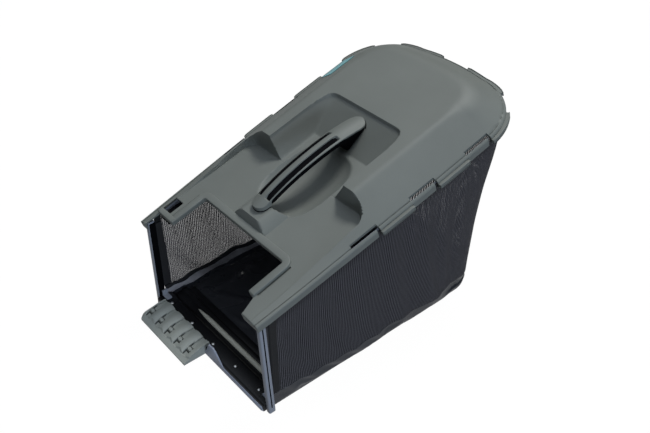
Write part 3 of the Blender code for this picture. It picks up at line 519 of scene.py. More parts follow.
print("cover:", COVER_LENGTH, "mm long, rim walk", round(2.0 * HALF_WALK, 1), "mm")


# %% [markdown]
# Distances run along the rim and in from it. The height function takes the lower of two surfaces where one
# cuts into the other, and the higher where one stands on it, with a small radius on the line between them.

# %% Rim and height of the cover
def smooth01(t):
    t = np.clip(t, 0.0, 1.0)
    return t * t * (3.0 - 2.0 * t)


def softer_min(a, b, radius):
    """Minimum of two heights, with a rounded meeting line."""
    share = np.clip(0.5 + 0.5 * (b - a) / radius, 0.0, 1.0)
    return b + (a - b) * share - radius * share * (1.0 - share)


def softer_max(a, b, radius):
    return -softer_min(-a, -b, radius)


def side_half(v):
    t = np.clip(v / CORNER_V, 0.0, 1.0)
    return MOUTH_HALF + (BACK_HALF - MOUTH_HALF) * (1.0 - (1.0 - t) ** SIDE_BOW)


def rim_point(walk, inset=0.0):
    """Point (x, v) of the rim at a walked distance from the front corner, moved inwards."""
    if walk <= CORNER_V:
        return float(side_half(walk)) - inset, walk
    if walk <= CORNER_V + CORNER_ARC:
        a = (walk - CORNER_V) / CORNER_ARC * math.pi / 2.0
        return CORNER_X + (CORNER_RX - inset) * math.cos(a), CORNER_V + (CORNER_RV - inset) * math.sin(a)
    x = max(HALF_WALK - walk, 0.0)
    return x, COVER_LENGTH - CROWN + CROWN * (1.0 - (x / CORNER_X) ** 2) - inset


def rim_distance(x, v):
    """How far a plan point lies inside the rim, and the share of the way to the plateau's crest."""
    away = np.abs(x)
    crest_half = 108.0 + 6.0 * np.clip(v / 467.0, 0.0, 1.0)
    side = side_half(v) - away
    side_share = side / (side_half(v) - crest_half)
    rx = (away - CORNER_X) / CORNER_RX
    rv = (v - CORNER_V) / CORNER_RV
    radius = np.hypot(rx, rv)
    corner = (1.0 - radius) * 99.5
    inner = 0.46 + (0.05 * rv - 0.02 * rx) / np.maximum(radius, 1e-6)
    corner_share = (1.0 - radius) / (1.0 - inner)
    crown = CROWN * (1.0 - np.clip(away / CORNER_X, 0.0, 1.0) ** 2)
    back = COVER_LENGTH - CROWN + crown - v
    back_share = back / (47.0 + 0.5 * crown)
    at_back = v > CORNER_V
    at_corner = at_back & (away > CORNER_X)
    distance = np.where(at_corner, corner, np.where(at_back, back, side))
    share = np.where(at_corner, corner_share, np.where(at_back, back_share, side_share))
    return distance, share


def rounded_box(x, v, half, end, corner):
    """Signed distance to a pocket that is open to the front, with two rounded corners at the back."""
    qx = np.abs(x) - (half - corner)
    qv = v - (end - corner)
    outside = np.hypot(np.maximum(qx, 0.0), np.maximum(qv, 0.0))
    return outside + np.minimum(np.maximum(qx, qv), 0.0) - corner


def cover_height(x, v):
    """Height of the outer skin over the cover's base plane."""
    distance, share = rim_distance(x, v)
    crest = 12.0 + 28.0 * smooth01((v - 63.0) / 165.0)
    slope = crest * np.maximum(share, 0.0)
    flat = crest + 0.9 * (1.0 - (x / 130.0) ** 2)
    radius = 3.0 + 11.0 * smooth01((v - 425.0) / 70.0)
    skin = softer_min(slope, flat, radius)

    gap = rounded_box(x, v, ZONE_HALF, ZONE_END, ZONE_CORNER)
    wall = ZONE + np.maximum(gap, 0.0) / 0.17
    skin = softer_min(skin, wall, 2.6)

    side = np.maximum(np.abs(x) - RECESS_HALF, 0.0) / 22.0
    back = np.maximum(v - RECESS_START, 0.0) / RECESS_LENGTH
    ramp = (side ** 3 + back ** 3) ** (1.0 / 3.0)
    recess = RECESS_LOW + RECESS_RISE * ramp + np.maximum(ramp - 1.0, 0.0) * 160.0
    recess = np.where(v < ZONE_END - 2.0, 80.0, recess)
    skin = softer_min(skin, recess, 1.6)

    sides = 1.0 - np.abs(x / BOSS_HALF) ** 2.8
    front = 1.0 - (BOSS_FRONT - v) / 11.5
    behind = 1.0 - (v - 165.0) / 10.0
    share = np.minimum(np.minimum(sides, behind), front)
    boss = np.where(share > 0.0, 2.5 + np.minimum(20.5 * share, BOSS_TOP - 2.5), BURIED)
    skin = softer_max(skin, boss, 1.4)

    q = (np.abs(x / SCOOP_HALF) ** SCOOP_POWER
         + np.abs((v - SCOOP_MIDDLE) / SCOOP_REACH) ** SCOOP_POWER) ** (1.0 / SCOOP_POWER)
    bowl = ZONE - 24.0 * np.clip(1.0 - q * q, 0.0, 1.0) ** 0.72 + np.maximum(q - 1.0, 0.0) * 260.0
    skin = softer_min(skin, bowl, 1.6)

    flange = np.clip((5.0 - distance) / 0.9, 0.0, 1.0)
    skin = skin + 0.7 * flange - 1.5 * np.exp(-((distance - GROOVE) / 0.55) ** 2)

    roll = np.minimum(np.maximum(distance, 0.0), np.maximum(v, 0.0))
    short = np.maximum(EDGE_RADIUS - roll, 0.0)
    return skin - (EDGE_RADIUS - np.sqrt(np.maximum(EDGE_RADIUS ** 2 - short ** 2, 0.0)))


# %% [markdown]
# The plan's rows and columns are packed where edges run. Behind the split row the grid bends round the two
# rear corners: four boundary lines are blended there, so that its outer line is the rim itself. The
# underside is the same grid, moved inwards by the wall and lowered by it, and the two are bridged.

# %% Plan lines, packed where edges run
def stations(*stops):
    """Places from (start, end, step) runs, each run up to the next one's start."""
    out = []
    for start, end, step in stops:
        count = max(1, round((end - start) / step))
        out += [start + (end - start) * i / count for i in range(count)]
    return out + [stops[-1][1]]


EDGE_STEPS = [6.6, 5.9, 5.4, 5.0, 4.6, 4.1, 3.3, 2.1, 1.4, 0.8, 0.35, 0.1, 0.0]
SKIRT_LEVELS = [-3.0, -7.0, -SKIRT]
ACROSS = stations((0, 12, 3), (12, 18, 1.5), (18, 54, 3), (54, 62, 1.6), (62, 84, 2.4), (84, 92, 1.0),
                  (92, 138, 3.2), (138, 149, 1.0))
ALONG = stations((6.6, 102, 3.2), (102, 148, 2.0), (148, 156, 1.2), (156, 222, 3.0), (222, 238, 0.9),
                 (238, 290, 3.0), (290, 306, 1.6), (306, 360, 3.0), (360, 370, 0.9), (370, 400, 3.0))
BACK_ROWS = 44
BACK_SHARES = [i / BACK_ROWS * 0.948 for i in range(1, BACK_ROWS)]
SPLIT_V = 400.0
print("rows to the split:", len(ALONG), "columns to one side:", len(ACROSS))


def column_places(half):
    """Right-hand columns for a rim at this half width: inner lines, then lines tied to the rim."""
    inner = list(ACROSS)
    last = inner[-1]
    limit = half - EDGE_STEPS[0]
    scale = min(1.0, (limit - 1.0) / last)
    inner = [x * scale for x in inner]
    bridge = [inner[-1] + (limit - inner[-1]) * i / 6.0 for i in range(1, 6)]
    return inner + bridge + [half - step for step in EDGE_STEPS] + [half] * len(SKIRT_LEVELS)


def cover_plan():
    """Plan places (x, v) of every crossing, and how far down the skirt it lies."""
    rows_v = [0.0] * len(SKIRT_LEVELS) + EDGE_STEPS[::-1][:-1] + ALONG
    right = np.array([column_places(float(side_half(v))) for v in rows_v])
    xs = np.concatenate([-right[:, :0:-1], right], axis=1)
    vs = np.repeat(np.array(rows_v)[:, None], xs.shape[1], axis=1)

    base = xs[-1]
    share = (base / base[-1] + 1.0) / 2.0
    reach = CORNER_V + CORNER_ARC * 0.5
    shares = BACK_SHARES + [1.0 - step / 134.0 for step in EDGE_STEPS] + [1.0] * len(SKIRT_LEVELS)
    side = [rim_point(SPLIT_V + (reach - SPLIT_V) * t) for t in shares]
    top = []
    for s in share:
        walk = reach + (2.0 * HALF_WALK - 2.0 * reach) * s
        x, v = rim_point(min(walk, 2.0 * HALF_WALK - walk))
        top.append((-x if walk < HALF_WALK else x, v))
    top = np.array(top)
    new_x, new_v = [], []
    for t, (sx, sv) in zip(shares, side):
        low = np.stack([base, np.full_like(base, SPLIT_V)], axis=1)
        left = np.array([-sx, sv])
        right_end = np.array([sx, sv])
        sides = left[None, :] * (1.0 - share[:, None]) + right_end[None, :] * share[:, None]
        ends = ((1.0 - t) * (low[0] * (1.0 - share[:, None]) + low[-1] * share[:, None])
                + t * (top[0] * (1.0 - share[:, None]) + top[-1] * share[:, None]))
        line = (1.0 - t) * low + t * top + sides - ends
        new_x.append(line[:, 0])
        new_v.append(line[:, 1])
    xs = np.concatenate([xs, np.array(new_x)])
    vs = np.concatenate([vs, np.array(new_v)])
    rows, columns = xs.shape
    depth = np.zeros_like(xs)
    for k, level in enumerate(SKIRT_LEVELS[::-1]):
        for line in (np.s_[k, k:columns - k], np.s_[rows - 1 - k, k:columns - k],
                     np.s_[k:rows - k, k], np.s_[k:rows - k, columns - 1 - k]):
            depth[line] = level
    return xs, vs, depth


# %% [markdown]
# Two grids take the plan's places: the outer skin, and the underside moved in and down by the wall. Their
# rims are bridged, so that the cover is one closed skin of even thickness.

# %% Skin over the plan
def sunk_in(x, v, wall):
    """Plan places moved inwards, by the wall at the rim and less farther in."""
    away = np.abs(x)
    distance, _ = rim_distance(x, v)
    shift = wall * np.clip(1.0 - distance / 40.0, 0.0, 1.0)
    rx = (away - CORNER_X) / CORNER_RX
    rv = (v - CORNER_V) / CORNER_RV
    radius = np.maximum(np.hypot(rx, rv), 1e-6)
    at_back = v > CORNER_V
    at_corner = at_back & (away > CORNER_X)
    step_x = np.where(at_corner, rx / radius, np.where(at_back, 0.0, 1.0))
    step_v = np.where(at_corner, rv / radius, np.where(at_back, 1.0, 0.0))
    front = wall * np.clip(1.0 - v / 40.0, 0.0, 1.0)
    return x - np.sign(x) * step_x * shift, v - step_v * shift + front


def to_world(points):
    """Points of the cover's frame, in millimetres, as world metres."""
    x, v, n = points[:, 0], points[:, 1], points[:, 2]
    y = v * math.cos(TILT) - n * math.sin(TILT)
    z = FRONT_HEIGHT + v * math.sin(TILT) + n * math.cos(TILT)
    return np.stack([x * MM, y * MM + MOUTH_Y, z * MM], axis=1)


def grid_skin(name, x, v, n):
    """A primitive grid whose crossings take the given places of the cover's frame."""
    rows, columns = x.shape
    bpy.ops.mesh.primitive_grid_add(x_subdivisions=columns - 1, y_subdivisions=rows - 1, size=1.0)
    thing = bpy.context.object
    thing.name = name
    points = np.stack([x.ravel(), v.ravel(), n.ravel()], axis=1)
    thing.data.vertices.foreach_set("co", to_world(points).ravel())
    thing.data.update()
    return thing


def cover_shell():
    x, v, depth = cover_plan()
    top = np.where(depth < 0.0, depth, cover_height(x, v))
    outer = grid_skin("moulded_cover", x, v, top)
    low_x, low_v = sunk_in(x, v, WALL)
    under = cover_height(x, v) - WALL
    inner = grid_skin("cover_underside", low_x, low_v, np.where(depth < 0.0, np.minimum(depth, under), under))
    open_mesh(inner)
    bpy.ops.mesh.flip_normals()
    close_mesh()
    only(outer)
    inner.select_set(True)
    bpy.ops.object.join()
    bpy.ops.object.mode_set(mode="EDIT")
    bpy.ops.mesh.select_all(action="DESELECT")
    bpy.ops.mesh.select_mode(type="EDGE")
    bpy.ops.mesh.select_non_manifold()
    bpy.ops.mesh.bridge_edge_loops()
    bpy.ops.mesh.select_all(action="SELECT")
    bpy.ops.mesh.normals_make_consistent(inside=False)
    close_mesh()
    return outer


# %% [markdown]
# Slots, the notch over the mouth and the hook pocket are punched through the skin, as the tool's cores
# leave them. Each cutter is a ring of plan points carried up and down.

# %% Bodies from rings
def from_mouth(points):
    """Plain millimetres (x, y from the mouth's plane, z) as world metres."""
    return np.asarray(points).reshape(-1, 3) * MM + np.array([0.0, MOUTH_Y, 0.0])


def ring_body(name, rings, place=to_world):
    """Closed body through rings of equal count, given in the cover's frame or the one that place reads."""
    count = len(rings[0])
    faces = []
    for i in range(len(rings) - 1):
        a, b = i * count, (i + 1) * count
        faces += [(a + j, a + (j + 1) % count, b + (j + 1) % count, b + j) for j in range(count)]
    faces.append(tuple(range(count))[::-1])
    faces.append(tuple(range((len(rings) - 1) * count, len(rings) * count)))
    points = place(np.array([p for ring in rings for p in ring], dtype=float))
    mesh = bpy.data.meshes.new(name)
    mesh.from_pydata([tuple(p) for p in points], [], faces)
    work = bmesh.new()
    work.from_mesh(mesh)
    bmesh.ops.recalc_face_normals(work, faces=work.faces)
    work.to_mesh(mesh)
    work.free()
    thing = bpy.data.objects.new(name, mesh)
    bpy.context.scene.collection.objects.link(thing)
    return thing


def prism(name, outline, low, high):
    return ring_body(name, [[(x, v, low) for x, v in outline], [(x, v, high) for x, v in outline]])


def arc_points(cx, cv, radius, start, end, steps):
    turns = [math.radians(start + (end - start) * i / steps) for i in range(steps + 1)]
    return [(cx + radius * math.cos(a), cv + radius * math.sin(a)) for a in turns]


def notch_outline(grow, start, steps=8):
    """U-shaped outline of the notch over the mouth, grown outwards."""
    radius = CUT_CORNER + grow
    right = arc_points(CUT_HALF - CUT_CORNER, CUT_END - CUT_CORNER, radius, 0.0, 90.0, steps)
    left = [(-x, v) for x, v in right[::-1]]
    return [(CUT_HALF + grow, start)] + right + left + [(-CUT_HALF - grow, start)]


def rim_run(start, end, inset, outset, low, high, side=1.0, steps=1):
    """Rings of a bar that follows the rim between two walked distances."""
    rings = []
    for i in range(steps + 1):
        walk = start + (end - start) * i / steps
        x0, v0 = rim_point(walk, inset)
        x1, v1 = rim_point(walk, -outset)
        x0, x1 = side * x0, side * x1
        rings.append([(x0, v0, low), (x1, v1, low), (x1, v1, high), (x0, v0, high)])
    return rings


# %% [markdown]
# Three slots run along each side, each with a wider hook at its rear end. They cut in two steps, because
# the slot and its hook cross. The notch, the pocket and the grooves beside the bead go with the first.

# %% Cutters
SLOT_STARTS = [176.0, 293.0, 410.0]
SLOT_LENGTH = 53.0
SLOT_WIDTH = 6.0
FINGER = 3.4
HOOK = 10.0
EAR_INNER = 121.0


def cutters():
    """Two sets of cutters. The second set crosses the first, so it cuts in a step of its own."""
    back = notch_outline(0.0, LIP_START)
    outline = [(EAR_INNER, -20.0), (EAR_INNER, 4.0), (CUT_HALF + LIP, LIP_START - 5.0),
               (CUT_HALF, LIP_START - 3.0)]
    outline += back[1:-1]
    outline += [(-CUT_HALF, LIP_START - 3.0), (-ZONE_HALF, LIP_START - 3.0), (-ZONE_HALF, -20.0)]
    first = [prism("notch", outline, -60.0, 60.0)]
    left, right = -ZONE_HALF - 4.0, -CUT_HALF - LIP - 10.5
    front = LIP_START + HOOK - 2.5
    first.append(prism("pocket", [(left, front), (right, front), (right, front + 27.0), (left, front + 27.0)],
                       -60.0, 60.0))
    for side in (-1.0, 1.0):
        a = side * (CUT_HALF + LIP - 0.6)
        b = a + side * 4.6
        first.append(prism("groove", [(a, LIP_START + 2.0), (b, LIP_START + 2.0), (b, CUT_END - 2.0),
                                      (a + side * 2.4, CUT_END + 1.6), (a, CUT_END + 1.6)], 1.25, 30.0))
    second = []
    for side in (-1.0, 1.0):
        for start in SLOT_STARTS:
            end = start + SLOT_LENGTH
            first.append(ring_body("slot", rim_run(start + 1.0, end - 0.7, FINGER + SLOT_WIDTH, -FINGER,
                                                   -40.0, 20.0, side, 4)))
            second.append(ring_body("slot_end", rim_run(end - SLOT_WIDTH, end, FINGER + SLOT_WIDTH * 0.6, 6.0,
                                                        -40.0, 20.0, side)))
    joined = []
    for group in (first, second):
        bpy.ops.object.select_all(action="DESELECT")
        for thing in group:
            thing.select_set(True)
        bpy.context.view_layer.objects.active = group[0]
        bpy.ops.object.join()
        joined.append(group[0])
    return joined


cover = cover_shell()
for tool in cutters():
    only(cover)
    step = cover.modifiers.new("cut", "BOOLEAN")
    step.operation = "DIFFERENCE"
    step.solver = "EXACT"
    step.object = tool
    bpy.ops.object.modifier_apply(modifier=step.name)
    bpy.data.objects.remove(tool, do_unlink=True)
dress(cover, cover_plastic, 38.0)
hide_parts("top_cover")
work = bmesh.new()
work.from_mesh(cover.data)
loose = sum(1 for edge in work.edges if not edge.is_manifold)
work.free()
print("cover skin:", len(cover.data.polygons), "faces,", loose, "open edges")


# %% [markdown]
# The bead round the notch stiffens its edge. It is a flat-topped rib with soft shoulders that ends at the
# front in rounded stops, and a short hook crosses to the left rim band.

# %% Bead, hook and rails
def soft_section(count, power=0.24):
    """Half-round section with a flat top: (share across 0..1, share up 0..1)."""
    out = []
    for i in range(count + 1):
        a = math.pi * i / count
        out.append((0.5 - 0.5 * math.copysign(abs(math.cos(a)) ** power, math.cos(a)), math.sin(a) ** power))
    return out


def bead():
    section = soft_section(14)
    start = LIP_START - 1.5
    curves = [notch_outline(-0.8 + 12.8 * across, start, 10) for across, up in section]
    rings = []
    for i in range(len(curves[0])):
        rings.append([(*curve[i], 0.6 + 7.9 * up) for curve, (across, up) in zip(curves, section)])
    for end, spot in ((0, rings[0]), (-1, rings[-1])):
        middle = sum(p[0] for p in spot) / len(spot)
        extra = []
        for shrink, ahead in ((0.93, 0.9), (0.75, 1.7), (0.45, 2.2)):
            extra.append([(middle + (x - middle) * shrink, v - ahead, 0.6 + (n - 0.6) * (0.4 + 0.6 * shrink))
                          for x, v, n in spot])
        rings = extra[::-1] + rings if end == 0 else rings + extra
    return ring_body("notch_bead", rings)


def hook():
    """Bar from the bead to the left rim band, turned up at its outer end."""
    section = soft_section(12)
    rings = []
    for x, wide, high in ((-143.0, 0.5, 8.6), (-142.4, 0.8, 9.4), (-141.0, 1.0, 9.8), (-137.0, 1.0, 9.0),
                          (-132.0, 1.0, 8.4), (-118.0, 1.0, 8.4), (-104.0, 1.0, 8.4)):
        rings.append([(x, LIP_START - 3.6 + HOOK * (0.5 + (across - 0.5) * wide), 0.4 + high * up)
                      for across, up in section])
    return ring_body("notch_hook", rings)


RAIL_SPANS = [(228.0, 293.0), (345.0, 410.0), (462.0, 527.0), (573.0, 660.3)]


def rail(side, start, end):
    """Rounded clip rail on the rim, between two slots."""
    corner = 1.1
    steps = 14
    rings = []
    for i in range(steps + 1):
        walk = start + (end - start) * i / steps
        edge = corner * (1.0 if i in (0, steps) else 0.0)
        ring = []
        for inset, n, out_in, up in ((1.0, -9.5, -1, -1), (-6.2, -9.5, 1, -1),
                                     (-6.2, -0.4, 1, 1), (1.0, -0.4, -1, 1)):
            for turn in range(4):
                a = math.radians(30.0 * turn)
                dx = corner * (1.0 - (math.sin(a) if out_in * up > 0 else math.cos(a)))
                dn = corner * (1.0 - (math.cos(a) if out_in * up > 0 else math.sin(a)))
                x, v = rim_point(walk, inset + out_in * (dx + edge * 0.6))
                ring.append((side * x, v, n - up * (dn + edge * 0.6)))
        rings.append(ring)
    return ring_body("clip_rail", rings)


trim = [bead(), hook()]
for side in (-1.0, 1.0):
    trim += [rail(side, start, end) for start, end in RAIL_SPANS]
for thing in trim:
    dress(thing, cover_plastic, 40.0)
print("bead, hook and rails:", len(trim))


# %% [markdown]
# The carrying handle is an arched bar with an olive top and a black core below it, which the fingers close
# round. Two channels with black liners run along its top, on either side of a raised strip. The top is
# sectioned along the arch: each section follows one function, so that the channels run out evenly.

# %% Carrying handle
GRIP_START = 146.0
GRIP_END = 298.0
FRONT_HALF = 14.5
BACK_FOOT_HALF = 17.0


def handle_top(v):
    """Arch of the handle's top along the slope."""
    t = min(max((v - HANDLE_START) / (HANDLE_END - HANDLE_START), 0.0), 1.0)
    ends = 28.5 + 6.5 * t
    return ends + 14.25 * (1.0 - abs(2.0 * t - 1.0) ** 2.2)


def recess_slope(v):
    return RECESS_LOW + RECESS_RISE * max(v - RECESS_START, 0.0) / RECESS_LENGTH


def handle_half(v):
    """Half width of the handle in plan: straight sides and round ends."""
    front = HANDLE_START + FRONT_HALF
    back = HANDLE_END - BACK_FOOT_HALF
    if v < front:
        return math.sqrt(max(FRONT_HALF ** 2 - (front - v) ** 2, 0.01))
    if v > back:
        return math.sqrt(max(BACK_FOOT_HALF ** 2 - (v - back) ** 2, 0.01))
    return FRONT_HALF + (BACK_FOOT_HALF - FRONT_HALF) * (v - front) / (back - front)


def handle_skin(x, v):
    """Height of the handle's outer surface at a plan place."""
    ends = float(smooth01((v - GRIP_START) / 4.0) * smooth01((GRIP_END - v) / 4.0))
    away = abs(x)
    channel = float(smooth01((away - 4.6) / 0.8) * smooth01((13.5 - away) / 0.6)) * ends
    strip = float(smooth01((5.0 - away) / 0.7)) * float(smooth01((v - GRIP_START + 2.0) / 14.0)
                                                         * smooth01((GRIP_END + 2.0 - v) / 14.0))
    crown = 0.018 * x * x
    return handle_top(v) - crown - 4.6 * channel + 0.8 * strip


def grip_share(v):
    """One over the grip, where the olive top is a thin shell on the core, and zero at the front foot."""
    return float(smooth01((v - 147.0) / 7.0))


def handle_low(v):
    """Underside of the olive top: below the channels over the grip, down on its seat at the front foot."""
    thin = handle_top(v) - 10.6
    return 20.2 + (thin - 20.2) * grip_share(v)


# %% [markdown]
# The olive top is a thin shell over the grip and thickens to full feet at both ends. The black core below
# it has a rounded underside, and a liner fills each channel almost to its edge.

# %% Bodies of the handle
def handle_body():
    tips = [0.02, 0.4, 1.2, 2.6, 4.6, 7.2, 10.4]
    vs = [HANDLE_START + d for d in tips] + stations((141.5, 144, 1.2), (144, 152, 1.0), (152, 166, 2.0),
                                                     (166, 292, 4.0), (292, 302, 1.2), (302, 338, 3.0))
    vs += [HANDLE_END - d for d in tips[::-1]]
    across = [0.0, 2.0, 3.8, 4.4, 4.8, 5.2, 5.7, 8.4, 12.0, 12.8, 13.1, 13.5, 13.7]
    rings = []
    for v in vs:
        half = handle_half(v)
        low = handle_low(v)
        limit = half - 0.8
        right = [(x * min(1.0, limit / 13.7), v) for x in across]
        right = [(x, v, handle_skin(x, v)) for x, v in right]
        edge = handle_skin(limit, v)
        for turn in (22.5, 45.0, 67.5, 90.0):
            a = math.radians(turn)
            right.append((limit + 0.8 * math.sin(a), v, edge - 0.8 * (1.0 - math.cos(a))))
        share = grip_share(v)
        foot = float(smooth01((v - 298.0) / 10.0))
        side_low = (low + 0.8) * (1.0 - share) + (edge - 1.1 - 1.9 * foot) * share
        right += [(half, v, side_low), (half - 1.2, v, side_low - 0.3), (half - 1.4, v, low)]
        right = [(max(x, 0.0), v, n) for x, v, n in right]
        rings.append(right + [(-x, v, n) for x, v, n in right[:0:-1]])
    return ring_body("carry_handle", rings)


def handle_core():
    """Black core under the olive top: a rounded underside over the grip, then the rear foot."""
    rings = []
    tips = [0.3, 1.2, 3.0, 6.0, 10.4]
    for v in stations((151, 330, 4.0), (330, 344, 3.0)) + [HANDLE_END - d for d in tips[::-1]]:
        half = handle_half(v) - 0.5
        top = handle_top(v) - 0.018 * half * half - 3.0
        arch = handle_top(v) - 16.6
        front = 20.4 + (arch - 20.4) * float(smooth01((v - 151.0) / 16.0))
        rear = arch + (recess_slope(v) + 0.4 - arch) * float(smooth01((v - 294.0) / 14.0))
        low = front if v < 230.0 else rear
        low = min(low, top - 1.0)
        ring = [(-half, v, top), (half, v, top)]
        for k in range(9):
            a = math.pi * k / 8.0
            ring.append((half * math.copysign(abs(math.cos(a)) ** 0.4, math.cos(a)), v,
                         low + (top - 1.5 - low) * max(0.0, 1.0 - math.sin(a) ** 0.4)))
        rings.append(ring)
    return ring_body("handle_core", rings)


def channel_liner(side):
    """Black liner that nearly fills one channel."""
    rings = []
    for i in range(41):
        v = GRIP_START + 1.0 + (GRIP_END - GRIP_START - 2.0) * i / 40.0
        lift = 3.5 * float(smooth01(min(i, 40 - i) / 2.0))
        ring = []
        for x in (4.9, 13.3):
            ring.append((side * x, v, handle_top(v) - 0.018 * x * x - 4.9))
        for x in (13.3, 12.9, 8.8, 5.4, 4.9):
            dip = 0.5 if 5.0 < x < 13.2 else 0.0
            ring.append((side * x, v, handle_top(v) - 0.018 * x * x - 4.6 + lift * (1.0 - dip * 0.25)))
        rings.append(ring)
    return ring_body("channel_liner", rings)


grip = dress(handle_body(), cover_plastic, 35.0)
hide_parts("handle")
dark_trim = [handle_core(), channel_liner(-1.0), channel_liner(1.0)]

# %% [markdown]
# Black strips stand where the handle's feet meet the cover, as painted shade in the gaps there: one under
# the front foot and one round the rear one. The hook pocket has a dark floor.

# %% Lines round the handle's feet
# Painted shade: near-black strips under the front foot and round the rear foot stand for shadow gaps.
edge = [(handle_half(v) + 0.7, v) for v in (127.02, 127.8, 129.4, 132.0, 136.0, 141.5, 146.0)]
edge = [(0.0, 126.2)] + [(x, v - 0.7 * (v < 140.0)) for x, v in edge]
centre = HANDLE_END - BACK_FOOT_HALF
rings = []
for turn in range(24, 187, 6):
    away, ahead = math.cos(math.radians(turn)), math.sin(math.radians(turn))
    ring = []
    for grow, n in ((-0.6, -0.6), (1.0, -0.6), (1.0, 0.5), (-0.6, 0.5)):
        radius = BACK_FOOT_HALF + grow
        ring.append((radius * away, centre + radius * ahead, recess_slope(centre + radius * ahead) + n))
    rings.append(ring)
dark_trim.append(ring_body("foot_shadow_ring", rings))
dark_trim.append(prism("foot_shadow_strip", edge + [(-x, v) for x, v in edge[:0:-1]], 19.4, 21.2))
pan = [(-146.0, 30.0), (-120.0, 30.0), (-120.0, 70.0), (-146.0, 70.0)]
dark_trim.append(prism("pocket_pan", pan, -9.6, -8.8))
for thing in dark_trim:
    dress(thing, grip_rubber, 40.0)
print("handle:", len(grip.data.polygons), "faces, dark pieces:", len(dark_trim))


# %% [markdown]
# The sill is a black channel across the mouth. Its tongue, on the left, guides the grass in: five raised
# bands run front to back over its rounded top, and between them lie sunken channels, each broken halfway by
# a small block. The tongue's top is one height function over a fine grid, like the cover.

# %% Sill, tongue and gusset
SILL_HALF = 152.0
SILL_FRONT = 4.0
SILL_TOP = 15.0
TONGUE_X0 = -146.0
TONGUE_X1 = -3.0
TONGUE_REACH = 42.0
TONGUE_PITCH = (TONGUE_X1 - TONGUE_X0) / 5.0


def sill_body():
    plate = 4.8
    section = [(SILL_FRONT, 0.2), (SILL_FRONT, 11.4), (4.3, 12.6), (5.2, 13.8), (6.6, 14.6), (8.4, SILL_TOP),
               (28.0, SILL_TOP), (30.5, 14.2), (32.5, 12.2), (36.0, 6.8), (38.0, 5.2), (40.0, plate),
               (51.4, plate), (52.2, 5.6), (53.2, 7.0), (54.4, 7.3), (60.6, 7.3), (61.6, 6.8), (62.0, 6.0),
               (62.0, 1.8), (21.0, 1.8), (21.0, 0.2)]
    return ring_body("floor_sill", [[(x, y, z) for y, z in section] for x in (-SILL_HALF, SILL_HALF)],
                     from_mouth)


# %% [markdown]
# The tongue's top is one height over a fine grid. Narrow grooves also go into an attribute, which darkens
# them in the material: dirt, and painted shade for the shadow that falls in the real ones.

# %% Tongue
def tongue_height(x, y):
    """Top of the tongue: rounded from its front edge up to the sill, with bands, channels and blocks."""
    t = np.clip((y - SILL_FRONT + TONGUE_REACH) / (TONGUE_REACH + 4.0), 0.0, 1.0)
    top = 4.0 + 14.0 * np.sin(t * math.pi / 2.0)
    local = (x - TONGUE_X0) / TONGUE_PITCH
    off = np.abs(local - np.floor(local) - 0.5) * TONGUE_PITCH
    into = y - (SILL_FRONT - TONGUE_REACH)
    front = 7.5 + 2.6 * np.clip((off - 4.0) / 10.0, 0.0, 1.0) ** 2
    inside = smooth01((into - front) / 2.4)
    band = np.cos(np.clip((TONGUE_PITCH * 0.5 - off) / (TONGUE_PITCH * 0.5 - 3.8), 0.0, 1.0) * math.pi / 2.0)
    top = top + 2.3 * inside * band ** 0.8
    halfway = TONGUE_REACH * 0.5
    beside = smooth01((4.1 - off) / 0.7)
    block = smooth01((3.4 - np.abs(into - halfway)) / 0.7)
    top = top - 2.0 * beside * inside * (1.0 - block) + 1.2 * beside * block - 3.4 * tongue_grooves(x, y)
    left = smooth01((x - TONGUE_X0) / 9.0)
    return top * (0.45 + 0.55 * left) - 0.2


def tongue_grooves(x, y):
    """Share 0..1 of the narrow grooves: U shapes that face the blocks, and the blocks' own outlines."""
    local = (x - TONGUE_X0) / TONGUE_PITCH
    off = np.abs(local - np.floor(local) - 0.5) * TONGUE_PITCH
    into = y - (SILL_FRONT - TONGUE_REACH)
    middle = np.abs(into - TONGUE_REACH * 0.5)
    sides = np.exp(-((off - 4.4) / 0.75) ** 4)
    sides = sides * smooth01((middle - 1.0) / 1.5) * smooth01((14.0 - middle) / 5.0)
    ends = np.exp(-((middle - 4.0) / 0.75) ** 4) * smooth01((5.2 - off) / 0.8)
    return np.maximum(sides * smooth01((into - 7.0) / 2.0), ends)


def tongue_body():
    """Fine grid under the height function, closed downwards, with its left front corner rounded off."""
    x_lines = np.array(stations((TONGUE_X0, TONGUE_X1, 0.42)))
    y_lines = np.array(stations((SILL_FRONT - TONGUE_REACH, 12.0, 0.45)))
    xs, ys = np.meshgrid(x_lines, y_lines)
    corner = np.clip(1.0 - (xs - TONGUE_X0) / 9.0, 0.0, 1.0)
    front = SILL_FRONT - TONGUE_REACH + 9.0 * corner
    ys = np.maximum(ys, front + (ys - ys.min()) * 0.02)
    bpy.ops.mesh.primitive_grid_add(x_subdivisions=len(x_lines) - 1, y_subdivisions=len(y_lines) - 1,
                                    size=1.0)
    thing = bpy.context.object
    thing.name = "tongue"
    flat = np.stack([xs.ravel(), ys.ravel(), tongue_height(xs, ys).ravel()], axis=1)
    thing.data.vertices.foreach_set("co", from_mouth(flat).ravel())
    marks = thing.data.attributes.new("grooves", "FLOAT", "POINT")
    marks.data.foreach_set("value", tongue_grooves(xs, ys).ravel())
    open_mesh(thing)
    bpy.ops.mesh.extrude_region_move(TRANSFORM_OT_translate={"value": (0.0, 0.0, -0.02)})
    close_mesh()
    for vertex in thing.data.vertices:
        if vertex.select:
            vertex.co.z = 0.6 * MM
    open_mesh(thing)
    bpy.ops.mesh.normals_make_consistent(inside=False)
    close_mesh()
    return thing


# %% [markdown]
# A pale lip runs along the sill's lower front edge, an upright web rises beside the tongue, and a pale olive
# bar, a painted highlight, crosses the floor behind the sill.

